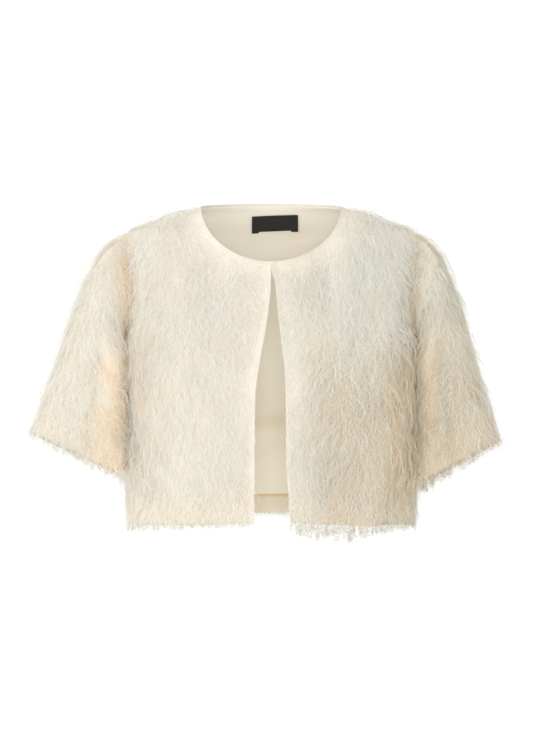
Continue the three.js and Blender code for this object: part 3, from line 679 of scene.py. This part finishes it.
def clothMaterial(name, ground, clean, warm):
    # plain weave in the cloth's own directions; warm as painted shade beside the armhole seams and low on the
    # left front, warm at the turned hem by its own colour, and pale at the clean edges
    material, nodes, links, shader = nodeMaterial(name, 0.85, Sheen_Weight=0.2, Specular_IOR_Level=0.25)
    cut = uvOf(nodes, "cut")
    weave = product(nodes, links, wave(nodes, links, cut, 290, "X"), wave(nodes, links, cut, 290, "Y"))
    place = nodes.new("ShaderNodeTexCoord").outputs["Object"]
    patches = ramp(nodes, links, noiseAt(nodes, links, place, 45),
                   [(0.3, (0.94, 0.92, 0.89)), (0.7, (1, 1, 1))])
    zone = ramp(nodes, links, attributeOf(nodes, "mark"), [(0, warm), (0.5, ground), (1, clean)])
    shade = ramp(nodes, links, weave, [(0, (0.93, 0.92, 0.9)), (1, (1, 1, 1))])
    colour = mixColour(nodes, links, mixColour(nodes, links, zone, patches), shade)
    # painted light: paler in the valley beside a sleeve, where shade falls
    colour = mixColour(nodes, links, colour, (0.975, 0.93, 0.84, 1), "MIX", attributeOf(nodes, "shelter"))
    links.new(colour, shader.inputs["Base Color"])
    bump(nodes, links, shader, weave, 0.35, 0.0003)
    return material


def satinMaterial(name, pale, warm, deep):
    material, nodes, links, shader = nodeMaterial(
        name, 0.42, Sheen_Weight=0.3, Sheen_Roughness=0.35, Specular_IOR_Level=0.35)
    place = nodes.new("ShaderNodeTexCoord").outputs["Object"]
    base = ramp(nodes, links, noiseAt(nodes, links, place, 9), [(0.3, warm), (0.7, pale)])
    # painted shade and light by mark: darker in the band under the fold and low down, paler at the top
    depth = ramp(nodes, links, attributeOf(nodes, "mark"),
                 [(0, deep), (0.5, (0.9355, 0.924, 0.90)), (1, (1, 1, 1))])
    links.new(mixColour(nodes, links, base, depth), shader.inputs["Base Color"])
    turned = nodes.new("ShaderNodeMapping")
    turned.inputs["Rotation"].default_value[2] = math.radians(38)
    links.new(uvOf(nodes, "cut"), turned.inputs[0])
    twill = wave(nodes, links, turned.outputs[0], 700, "X")
    bump(nodes, links, shader, twill, 0.12, 0.0001)
    return material


def labelMaterial(name, colour, lighter):
    material, nodes, links, shader = nodeMaterial(name, 0.62, Sheen_Weight=0.04, Specular_IOR_Level=0.25)
    cut = uvOf(nodes, "cut")
    ribs = product(nodes, links, wave(nodes, links, cut, 620, "X"), wave(nodes, links, cut, 380, "Y"))
    links.new(ramp(nodes, links, ribs, [(0, colour), (1, lighter)]), shader.inputs["Base Color"])
    bump(nodes, links, shader, ribs, 0.4, 0.0002)
    return material


def metalMaterial(name, colour):
    material, nodes, links, shader = nodeMaterial(name, 0.32, Metallic=0.9)
    place = nodes.new("ShaderNodeTexCoord").outputs["Object"]
    worn = noiseAt(nodes, links, place, 900)
    darker = tuple(0.8 * part for part in colour)
    links.new(ramp(nodes, links, worn, [(0.3, darker), (0.7, colour)]), shader.inputs["Base Color"])
    bump(nodes, links, shader, worn, 0.1, 0.0001)
    return material


looks = {
    "pile": pileMaterial("creamThreads", (0.99, 0.965, 0.92), (0.985, 0.855, 0.685),
                         (0.912, 0.895, 0.833), (0.928, 0.925, 0.887)),
    # painted shade: a darker, greyer copy of the threads for the left front and left sleeve, on the side
    # turned from the key light
    "shadedPile": pileMaterial("shadedSideThreads", (0.99, 0.965, 0.92), (0.86, 0.77, 0.61),
                               (0.84, 0.82, 0.735), (0.93, 0.93, 0.885), (0.92, 0.85, 0.74)),
    # painted shade: dark grey threads for the hems and cuffs, and a paler copy as painted light for the cuff
    # on the side towards the key light
    "fringe": pileMaterial("shadedLooseThreads", (0.99, 0.97, 0.93), (0.64, 0.60, 0.48),
                           (0.66, 0.64, 0.55), (0.76, 0.755, 0.68)),
    "litSideFringe": pileMaterial("litLooseThreads", (0.99, 0.97, 0.93), (0.74, 0.70, 0.58),
                               (0.78, 0.765, 0.67), (0.86, 0.855, 0.78)),
    "cloth": clothMaterial("groundCloth", (0.87, 0.82, 0.73), (0.81, 0.775, 0.68), (0.70, 0.57, 0.41)),
    "facing": clothMaterial("turnedCloth", (0.9, 0.82, 0.69), (0.9, 0.82, 0.69), (0.80, 0.62, 0.39)),
    "lining": satinMaterial("liningSatin", (0.985, 0.945, 0.835), (0.965, 0.92, 0.803), (0.849, 0.80, 0.705)),
    "label": labelMaterial("labelRibbon", (0.016, 0.016, 0.015), (0.04, 0.04, 0.038)),
    "metal": metalMaterial("platedWire", (0.72, 0.66, 0.55)),
}
print("materials made")


photoView = {"target": (-0.006, -0.090, -0.215), "rise": 6, "distance": 5.0, "rows": 754, "rowSize": 0.00127}
suns = (  # name, direction, strength and angle across
    ("keyLight", (0.9, 0.4, -0.5), 1.15, 50),
    ("frontLight", (0, 1, -0.12), 0.6, 14),
    ("fillLight", (-0.6, 0.75, -0.15), 0.22, 30),
    ("backLight", (-0.3, -1, -0.4), 0.7, 50),
    ("topLight", (0, 0.25, -1), 0.6, 60),
)
insideLamp = {"place": (0, -0.105, -0.16), "energy": 0.06, "size": 0.05}
floorLooks = {"size": 400, "height": -1.3, "grey": 0.96, "glow": 0.13}


def addCamera():
    target = Vector(photoView["target"])
    rise, distance = math.radians(photoView["rise"]), photoView["distance"]
    data = bpy.data.cameras.new("camera")
    camera = bpy.data.objects.new("camera", data)
    bpy.context.scene.collection.objects.link(camera)
    back = Vector((0, -math.cos(rise), math.sin(rise)))
    camera.location = target + back * distance
    camera.rotation_mode = "QUATERNION"
    camera.rotation_quaternion = (-back).to_track_quat("-Z", "Y")
    data.sensor_width = 36
    data.lens = data.sensor_width * distance / (photoView["rows"] * photoView["rowSize"])
    data.clip_start, data.clip_end = 0.1, 1200
    bpy.context.scene.camera = camera


def addLights():
    world = bpy.data.worlds.new("studio")
    bpy.context.scene.world = world
    world.use_nodes = True
    nodes, links = world.node_tree.nodes, world.node_tree.links
    # white at the horizon and softer overhead, like a bright room's walls and ceiling
    height = nodes.new("ShaderNodeSeparateXYZ")
    links.new(nodes.new("ShaderNodeTexCoord").outputs["Generated"], height.inputs[0])
    brightness = ramp(nodes, links, height.outputs[2], [(0.04, (1, 1, 1)), (0.2, (0.5, 0.5, 0.5))])
    links.new(brightness, nodes["Background"].inputs["Color"])
    nodes["Background"].inputs["Strength"].default_value = 1.0
    for name, way, strength, angle in suns:
        data = bpy.data.lights.new(name, "SUN")
        data.energy, data.angle = strength, math.radians(angle)
        lamp = bpy.data.objects.new(name, data)
        lamp.rotation_mode = "QUATERNION"
        lamp.rotation_quaternion = Vector(way).to_track_quat("-Z", "Y")
        bpy.context.scene.collection.objects.link(lamp)
    # a small lamp inside, as for a garment shown on its own
    inside = bpy.data.lights.new("insideLight", "POINT")
    inside.energy, inside.shadow_soft_size = insideLamp["energy"], insideLamp["size"]
    lamp = bpy.data.objects.new("insideLight", inside)
    lamp.location = insideLamp["place"]
    lamp.visible_camera = False
    bpy.context.scene.collection.objects.link(lamp)


def addFloor():
    bm = bmesh.new()
    bmesh.ops.create_grid(bm, x_segments=1, y_segments=1, size=floorLooks["size"])
    bmesh.ops.translate(bm, verts=bm.verts[:], vec=(0, 0, floorLooks["height"]))
    mesh = bpy.data.meshes.new("floor")
    bm.to_mesh(mesh)
    bm.free()
    floor = bpy.data.objects.new("floor", mesh)
    bpy.context.scene.collection.objects.link(floor)
    material, _, _, shader = nodeMaterial("paleFloor", 0.9)
    shader.inputs["Base Color"].default_value = (*[floorLooks["grey"]] * 3, 1)
    shader.inputs["Emission Color"].default_value = (1, 1, 1, 1)
    shader.inputs["Emission Strength"].default_value = floorLooks["glow"]
    mesh.materials.append(material)


bpy.context.scene.view_settings.view_transform = "Standard"
addCamera()
addLights()
addFloor()
print("camera, light and floor made")

cloth = {
    "roll": 2.9, "rollWidth": 6, "groove": 0.3, "grooveAt": 9.5, "grooveWidth": 1.1, "cleanWidth": 5.0,
    "edgeWall": 1.5, "edgeWallWidth": 9, "deepest": 4.9, "fold": 0.8, "swell": 0.6,
    "sleeveCorner": {"left": 18, "right": 22}, "bodyCorner": {"left": 3, "right": 4},  # bulge in the valley
    "meet": 0.4, "meetZ": (-79.5, -74), "meetX": (1, 4),  # of the fronts above the hook
}
# The valley between the body's side and a sleeve, in millimetres down from the nape, across and from the
# armhole seam, and how far a spot has to face it
valleyReach = {
    "starts": (60, 195), "ends": (332, 362), "across": (130, 165), "seam": (0, 5), "facing": (0.4, 0.92),
    "bulgeStarts": (105, 200), "bulgeSeam": (0, 16), "corner": (0.66, 0.95), "deep": (0.72, 0.98),
}


def valley(panel):
    # how far a spot faces the valley between the body's side and a sleeve, and how far its front corner
    points, normals = panel["points"], panel["normals"]
    side = np.sign(points[..., 0]) * (-1 if panel["isRing"] else 1)
    inwards, forwards = side * normals[..., 0], -normals[..., 1]
    across, down = np.abs(points[..., 0]), -points[..., 2]
    reach = valleyReach
    near = smooth(down, *reach["starts"]) * (1 - smooth(down, *reach["ends"]))
    near = near * smooth(across, *reach["across"]) * smooth(panel["seam"], *reach["seam"])
    started = smooth(down, *reach["bulgeStarts"]) * smooth(panel["seam"], *reach["bulgeSeam"])
    panel["valley"] = near * smooth(0.8 * inwards + 0.6 * forwards, *reach["facing"])
    turned = 0.82 * inwards + 0.57 * forwards if panel["isRing"] else (inwards + forwards) / 1.414
    panel["corner"] = near * started * smooth(turned, *reach["corner"])
    panel["deep"] = near * smooth(inwards, *reach["deep"])


def clothGrids(panel):
    points, edge = panel["points"], panel["edge"]
    lift = -form["pileDepth"] + cloth["roll"] * np.exp(-((edge / cloth["rollWidth"]) ** 2))
    lift = lift - cloth["groove"] * np.exp(-(((edge - cloth["grooveAt"]) / cloth["grooveWidth"]) ** 2))
    lift = lift + cloth["fold"] * panel["fold"] * smooth(edge, 0, 20)
    valley(panel)
    lift = lift + (form["pileDepth"] + cloth["swell"]) * panel["valley"]
    sideName = "left" if points[..., 0].mean() > 0 else "right"
    corner = cloth["sleeveCorner"][sideName] if panel["isRing"] else cloth["bodyCorner"][sideName]
    panel["bulge"] = corner * panel["corner"]
    lift = lift + panel["bulge"]
    panel["lift"] = lift
    outer = points + panel["normals"] * lift[..., None]
    wall = form["clothWall"] + cloth["edgeWall"] * (1 - smooth(edge, 0, cloth["edgeWallWidth"]))
    wall = np.minimum(wall, np.maximum(cloth["deepest"] + lift, form["clothWall"]))
    inner = outer - panel["normals"] * wall[..., None]
    meet = smooth(points[..., 2], *cloth["meetZ"]) * (1 - smooth(np.abs(points[..., 0]), *cloth["meetX"]))
    meet = cloth["meet"] * meet
    for grid in (outer, inner):
        grid[..., 0] -= np.sign(points[..., 0]) * meet
    return outer, inner


def bare(panel):
    # how free of threads the clean edges are: lower on the fronts the threads reach them
    return smooth(panel["points"][..., 2], -300, -190)


def clothMarks(panel):
    # from 0, warm, by 0.5, plain, to 1, a clean edge; the warm is painted shade by the armhole seams and low
    # on the left front, and the hem's own warmer cloth
    clean = np.clip(1.2 - panel["edge"] / cloth["cleanWidth"], 0, 1) * (0.1 + 0.9 * bare(panel))
    down = -panel["points"][..., 2]
    # painted shade beside the armhole seam
    warm = 0.7 * (1 - smooth(panel["seam"], 4, 14)) * smooth(down, 20, 70)
    warm = np.maximum(warm, 0.35 * (1 - smooth(panel["hem"], 25, 60)))
    # painted shade low on the left front, turned from the key light
    if panel["points"][..., 0].mean() > 20:
        warm = np.maximum(warm, 0.8 * smooth(down, 90, 240) * smooth(panel["edge"], 12, 60))
    return 0.5 + 0.5 * clean - 0.5 * warm * (1 - clean)


panels = {
    "front_left": frontPanel("left"),
    "front_right": frontPanel("right"),
    "back": backPanel(),
    "sleeve_left": sleevePanel("left"),
    "sleeve_right": sleevePanel("right"),
}
for panelName, panel in panels.items():
    outer, inner = clothGrids(panel)
    piece = clothShell(f"{panelName}_cloth", outer, inner, panel["isRing"],
                       mark=clothMarks(panel), shelter=panel["deep"])
    finishPiece(piece, looks["cloth"], [panelName])
print("ground cloth made")


# How peach the threads are in a sleeve's valley, as painted shade there
valleyShadeWarmth = {"front_left": 0.55, "front_right": 0.35, "back": 0.15, "sleeve_left": 0.4, "sleeve_right": 0.62}
# How peach a sleeve's threads are beside its armhole seam, as a painted shadow streak, and from where to
# where that fades
seamShadowWarmth = {
    "sleeve_left": {"share": 0.42, "reach": (4, 18)},
    "sleeve_right": {"share": 0.6, "reach": (12, 32)},
}
# How far the threads stand out in the valley
valleyPuff = {"front_left": 6, "front_right": 5, "back": 6, "sleeve_left": 6, "sleeve_right": 8}


def zones(panel, panelName):
    # how the threads change over a panel; lengths and reaches are in millimetres
    points, edge, hem, seam = (panel[key] for key in ("points", "edge", "hem", "seam"))
    inside, deep = panel["valley"], panel["deep"]
    x, z = points[..., 0], points[..., 2]
    free = bare(panel)
    density = smooth(edge + 1.8 * (1 - free), 0.8, 2 + 3 * free)
    density = density * (0.6 + 0.4 * smooth(seam, 1, 8)) * (0.85 + 0.15 * smooth(hem, 35, 55))
    length = 5 + 17 * smooth(edge + 16 * (1 - free), 3, 38)
    length = length * (0.62 + 0.38 * smooth(hem, 30, 62)) * (0.7 + 0.3 * smooth(seam, 0, 20))
    lean, contrast, wide, clump, tone = (value + 0 * edge for value in (0, 0.12, 1, 0.25, 0.65))
    if panelName == "front_left":
        # longer and coarser wisps low down, with painted shade: darker, warmer threads low down and beside
        # the armhole
        low = smooth(-z, 120, 260) * smooth(edge, 10, 55)
        length = length + 9 * low * smooth(hem, 10, 50)
        lean = -0.3 * low * (1 - smooth(x, 60, 120)) - 0.05
        contrast = contrast + 0.12 * low
        clump = clump + 0.75 * low
        besideArmhole = smooth(-z, 50, 110) * (1 - smooth(seam, 8, 32))
        # painted shade: the tone drops towards peach low down and beside the armhole seam
        tone = 0.95 - 0.74 * np.maximum(low, besideArmhole)
        wide = wide + 0.2 * low
        patches = 0.5 + 0.5 * softNoise(points.reshape(-1, 3), 34, 5).reshape(x.shape)
        density = density * (1 - 0.5 * low) * (1 - 0.5 * np.clip(patches, 0, 1) * smooth(-z, 60, 200))
        density = density * (1 - 0.4 * smooth(-z, 110, 170) * (1 - smooth(seam, 4, 18)))
    density = density * (1 + inside)
    puff = valleyPuff[panelName] * inside - 1.4 * smooth(z, -60, -25) * smooth(np.abs(x), 120, 165)
    # painted shade: threads turn peach deep in the valley
    peach = valleyShadeWarmth[panelName] * inside ** 1.5
    contrast = contrast + 0.08 * inside
    if panel["isRing"]:
        besideSeam = seamShadowWarmth[panelName]
        # painted shadow: a peach streak down beside the armhole seam
        seamShadowStreak = besideSeam["share"] * (1 - smooth(seam, *besideSeam["reach"])) * smooth(-z, 36, 60)
        peach = np.maximum(peach, seamShadowStreak)
        if panelName == "sleeve_left":
            density = density * (1 - 0.35 * smooth(-z, 90, 160))
            contrast = contrast + 0.08
            # painted shade: a lower, greyer tone on the sleeve turned from the key light
            tone = 0.5 + 0 * edge
            clump = clump + 0.3
    # painted light: threads paler deep in the valley, where shade falls
    pale = deep * (0.1 if panelName == "front_left" else 1)
    return {"density": density, "length": length, "lean": lean, "puff": puff, "contrast": contrast,
            "wide": wide, "peach": peach, "clump": clump, "tone": tone, "pale": pale, "bulge": panel["bulge"]}


# "hangs" says whether the panel's first or last row is its lowest
pilePlans = {
    "front_left": {"count": 10800, "steps": 8, "seed": 11, "hangs": "first", "wide": 1.0, "flyShare": 0.16,
                   "look": "shadedPile"},
    "front_right": {"count": 10800, "steps": 8, "seed": 23, "hangs": "first", "wide": 1.0, "flyShare": 0.1,
                    "look": "pile"},
    "back": {"count": 14000, "steps": 6, "seed": 37, "hangs": "first", "wide": 1.3, "flyShare": 0.2,
             "look": "pile"},
    "sleeve_left": {"count": 8200, "steps": 8, "seed": 51, "hangs": "last", "wide": 1.1, "flyShare": 0.22,
                    "look": "shadedPile"},
    "sleeve_right": {"count": 8200, "steps": 8, "seed": 67, "hangs": "last", "wide": 1.1, "flyShare": 0.22,
                     "look": "pile"},
}
for panelName, plan in pilePlans.items():
    piece = addPile(f"{panelName}_pile", panels[panelName], plan, zones(panels[panelName], panelName))
    finishPiece(piece, looks[plan["look"]])
    print("pile made on", panelName)

lining = {
    "wall": 1.0, "lift": 0.3, "sag": 5, "sagRow": 3, "sagRows": 1.6, "sideEase": 1.4,
    "hem": 0.98, "neck": 0.05, "side": 0.5,  # where it starts and ends, in the back's rows and columns
    # the darker band under the fold is painted shade
    "ridgeZ": -268, "ridge": 5, "bandZ": -285, "bandHeight": 11,  # the soft fold and the darker band under it
}
facing = {"wall": 1.4, "lift": 0.3, "threads": 1500, "threadLength": 5.5, "seed": 83}
bodyWall = 5  # of the back's solid, which the lining and the turned-up hem lie on


def backGrid(firstRow, lastRow, side, rowCount, columnCount):
    # part of the back's inner side, as rows and columns of its points and normals
    back = panels["back"]
    row, column = np.meshgrid(np.linspace(firstRow, lastRow, rowCount),
                              np.linspace(side, form["backColumns"] - side, columnCount), indexing="ij")
    rowAt = np.interp(row.ravel(), back["rows"], np.arange(len(back["rows"])))
    shape = (rowCount, columnCount, 3)
    points = at(back["points"], rowAt, column.ravel() * 4, False).reshape(shape)
    normals = unit(at(back["plainNormals"], rowAt, column.ravel() * 4, False).reshape(shape))
    return row, column, points, normals


def liningFolds(row, x, z):
    # soft folds of the satin, towards the inside
    sag = lining["sag"] * np.exp(-(((row - lining["sagRow"]) / lining["sagRows"]) ** 2))
    fromRidge = z - lining["ridgeZ"] - 0.12 * x
    broad = lining["ridge"] * np.exp(-((fromRidge / np.where(fromRidge > 0, 26, 11)) ** 2))
    slant = 0.9 * np.sin((x * 0.5 + z) / 17 + 1.5 * np.sin(x / 60)) * smooth(-z, 60, 110)
    upper = 1.3 * np.sin((z - 0.35 * x) / 6) * smooth(-z, 40, 50) * (1 - smooth(-z, 66, 86))
    lip = 2.2 * np.exp(-(((row - lining["hem"]) / 0.35) ** 2))
    top = smooth(row, 20.3, 20.95)
    return np.maximum(sag + broad + slant + upper, 0) + lip - 1.5 * top


def addLining():
    lastRow = form["sideRows"] + form["armholeRows"] + form["shoulderRows"] - lining["neck"]
    row, column, points, normals = backGrid(lining["hem"], lastRow, lining["side"], 84, 44)
    x, z = points[..., 0], points[..., 2]
    ease = lining["lift"] + liningFolds(row, x, z)
    fromSide = np.minimum(column, form["backColumns"] - column)
    ease = ease + lining["sideEase"] * (1 - smooth(fromSide, 0.5, 1.5))
    depth = (bodyWall + ease)[..., None]
    # painted shade in the band under the fold and low down, painted light at the top by the neck
    foldShade = np.exp(-(((z - lining["bandZ"] - 0.1 * x) / lining["bandHeight"]) ** 2))
    marks = 0.5 - 0.5 * np.maximum(foldShade, 0.4 * smooth(-z, 290, 320)) + 0.5 * smooth(z, -34, -12)
    piece = clothShell("lining_satin", points - normals * depth,
                       points - normals * (depth + lining["wall"]), mark=marks)
    return finishPiece(piece, looks["lining"], ["lining_back"])


def addFacing():
    row, column, points, normals = backGrid(0.04, 1, 0.4, 11, 78)
    depth = bodyWall + facing["lift"]
    outer, inner = points - normals * depth, points - normals * (depth + facing["wall"])
    full = np.ones(inner.shape[:2])
    # painted shadow: its top rows warmer and darker, under the lining's hem
    piece = clothShell("hem_facing_cloth", outer, inner, mark=0.5 - 0.5 * smooth(row, 0.74, 0.9))
    finishPiece(piece, looks["facing"], ["hem_facing_back"])
    panel = {"points": inner, "normals": -normals, "isRing": False, "lift": 0 * full,
             "across": lengthsAlong(inner, 1)}
    values = {"length": facing["threadLength"], "lean": 0, "puff": 1, "contrast": 0.15, "wide": 1,
              "peach": 0.2, "clump": 0.3, "tone": 0.65, "pale": 0, "bulge": 0}
    zone = {"density": full * (1 - 0.9 * smooth(row, 0.72, 0.9))}
    zone.update({key: value * full for key, value in values.items()})
    plan = {"count": facing["threads"], "steps": 4, "seed": facing["seed"], "hangs": "first", "wide": 0.9,
            "flyShare": 0.2}
    fuzz = addPile("hem_facing_pile", panel, plan, zone)
    finishPiece(fuzz, looks["pile"])
    return piece, fuzz


label = {
    "middleX": 5, "middleZ": -23, "width": 60, "height": 21, "tilt": 2.5, "lift": 0.6, "wall": 0.8,
    "tab": 9, "tabDrop": 1.9,  # the sewn ends
}


def addLabel():
    tabEdge = label["width"] / 2 - label["tab"]
    steps = [-tabEdge - 0.3, -tabEdge + 0.3, tabEdge - 0.3, tabEdge + 0.3]
    x = np.sort(np.concatenate([np.linspace(-label["width"] / 2, label["width"] / 2, 25), steps]))[None, :]
    rise = np.linspace(-0.5, 0.5, 9)[:, None]
    z = label["middleZ"] + rise * label["height"] + x * math.tan(math.radians(label["tilt"]))
    z = z - (np.abs(x) > tabEdge) * label["tabDrop"] * (rise < -0.45)
    spotX = label["middleX"] + x + 0 * rise
    shape = tableAt(bodySections, "backShape", z)
    share = np.abs(spotX) / tableAt(bodySections, "half", z)
    turn = 180 - np.sign(spotX) * np.degrees(np.arctan2(share, (1 - share ** shape) ** (1 / shape)))
    curl = 0.25 * np.cos(x / 7) * (1 - (2 * rise) ** 2) + 0.35 * smooth(np.abs(x), 27.5, 29)
    depth = bodyWall + lining["lift"] + lining["wall"] + label["lift"] + np.maximum(curl, -0.3)
    points, normals = bodyPoint(turn, z), bodyNormal(turn, z)
    piece = clothShell("neck_label", points - normals * depth[..., None],
                       points - normals * (depth + label["wall"])[..., None])
    return finishPiece(piece, looks["label"], ["label"])


liningPiece = addLining()
facingPiece, facingPile = addFacing()
labelPiece = addLabel()
for nodeName in ("hook", "eye"):
    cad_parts[nodeName].material_slots[0].material = looks["metal"]
print("lining, turned-up hem, label and fastening made")

# Loose threads along the hems and cuffs, longest at their "peak", a share of the edge's length
fringePlans = {
    "hem_fringe_left": {"panel": "front_left", "count": 210, "shortest": 6, "longest": 23,
                        "peak": 0.26, "spread": 0.3, "seed": 101},
    "hem_fringe_right": {"panel": "front_right", "count": 120, "shortest": 5.5, "longest": 10,
                         "peak": 0.9, "spread": 0.4, "seed": 103},
    "hem_fringe_back": {"panel": "back", "count": 190, "shortest": 3, "longest": 6.5,
                        "peak": 0.55, "spread": 0.4, "seed": 107},
    "cuff_fringe_left": {"panel": "sleeve_left", "count": 190, "shortest": 6, "longest": 16,
                         "peak": 0.45, "spread": 0.3, "seed": 109},
    "cuff_fringe_right": {"panel": "sleeve_right", "count": 220, "shortest": 7, "longest": 10,
                          "peak": 0.45, "spread": 0.3, "seed": 113},
}
fringeLooks = {
    "steps": 34, "start": -2.5, "cuffStart": -7, "depthLow": 1.0, "depthHigh": 4.6, "width": 0.52,
    "twist": 0.7, "curl": 1.6, "waveShort": 4, "waveLong": 7, "drift": 6,
}


def addFringe(name, plan):
    # curly threads that hang from an edge as loops and ends, and cross each other
    rng = np.random.default_rng(plan["seed"])
    panel, count, steps = panels[plan["panel"]], plan["count"], fringeLooks["steps"]
    endRow = -1 if panel["isRing"] else 0
    line, out = panel["points"][endRow], panel["normals"][endRow]
    down = np.array([0, 0, -1.0])
    if panel["isRing"]:
        line, out = (np.concatenate([grid, grid[:1]]) for grid in (line, out))
        down = unit(panel["points"][-1].mean(0) - panel["points"][-4].mean(0))
    along = np.concatenate([[0], np.cumsum(np.linalg.norm(np.diff(line, axis=0), axis=1))])
    share = (np.arange(count) + rng.random(count)) / count
    near = np.exp(-(((share - plan["peak"]) / plan["spread"]) ** 2))
    long = plan["shortest"] + (plan["longest"] - plan["shortest"]) * near
    long = (long * rng.uniform(0.4, 1.1, count))[:, None]
    t = np.linspace(0, 1, steps + 1)[None, :]
    turns = rng.choice([0.5, 1, 1], count)[:, None]
    wavelength = rng.uniform(fringeLooks["waveShort"], fringeLooks["waveLong"], count)[:, None]
    waves = 2 * long * turns / wavelength
    phase = rng.uniform(0, 2 * np.pi, count)[:, None] + 2 * np.pi * np.maximum(waves, 1) * t
    size = fringeLooks["curl"] * rng.uniform(0.5, 1.5, count)[:, None] * np.minimum(t * 6, 1)
    sideways = rng.normal(0, fringeLooks["drift"], count)[:, None] * turns * t + size * np.sin(phase)
    drop = long * np.abs(np.sin(np.pi * turns * t)) ** 0.8 + 0.9 * size * np.cos(phase)
    if panel["isRing"]:
        drop = drop + rng.uniform(fringeLooks["cuffStart"], 0, count)[:, None]
    else:
        drop = drop + fringeLooks["start"]
    place = np.clip(share[:, None] * along[-1] + sideways, 0, along[-1])
    spot, normal = (np.stack([np.interp(place, along, grid[:, axis]) for axis in range(3)], -1)
                    for grid in (line, out))
    depth = rng.uniform(fringeLooks["depthLow"], fringeLooks["depthHigh"], count)[:, None]
    depth = depth + 0.8 * np.sin(phase * 0.37)
    centre = spot - unit(normal) * depth[..., None] + down * drop[..., None]
    tangent = unit(np.gradient(centre, axis=1))
    flat = unit(np.cross(unit(normal), tangent))
    twist = rng.uniform(-fringeLooks["twist"], fringeLooks["twist"], count)[:, None, None]
    across = flat * np.cos(twist) + np.cross(tangent, flat) * np.sin(twist)
    width = fringeLooks["width"] * rng.uniform(0.8, 1.25, count)
    return ribbons(f"{name}_threads", centre, across, width, rng.uniform(0, 0.93, count))


for nodeName, plan in fringePlans.items():
    piece = addFringe(nodeName, plan)
    # the paler copy, painted light, goes on the sleeve towards the key light
    look = looks["litSideFringe" if plan["panel"] == "sleeve_right" else "fringe"]
    finishPiece(piece, look, [nodeName])
print("loose threads made")
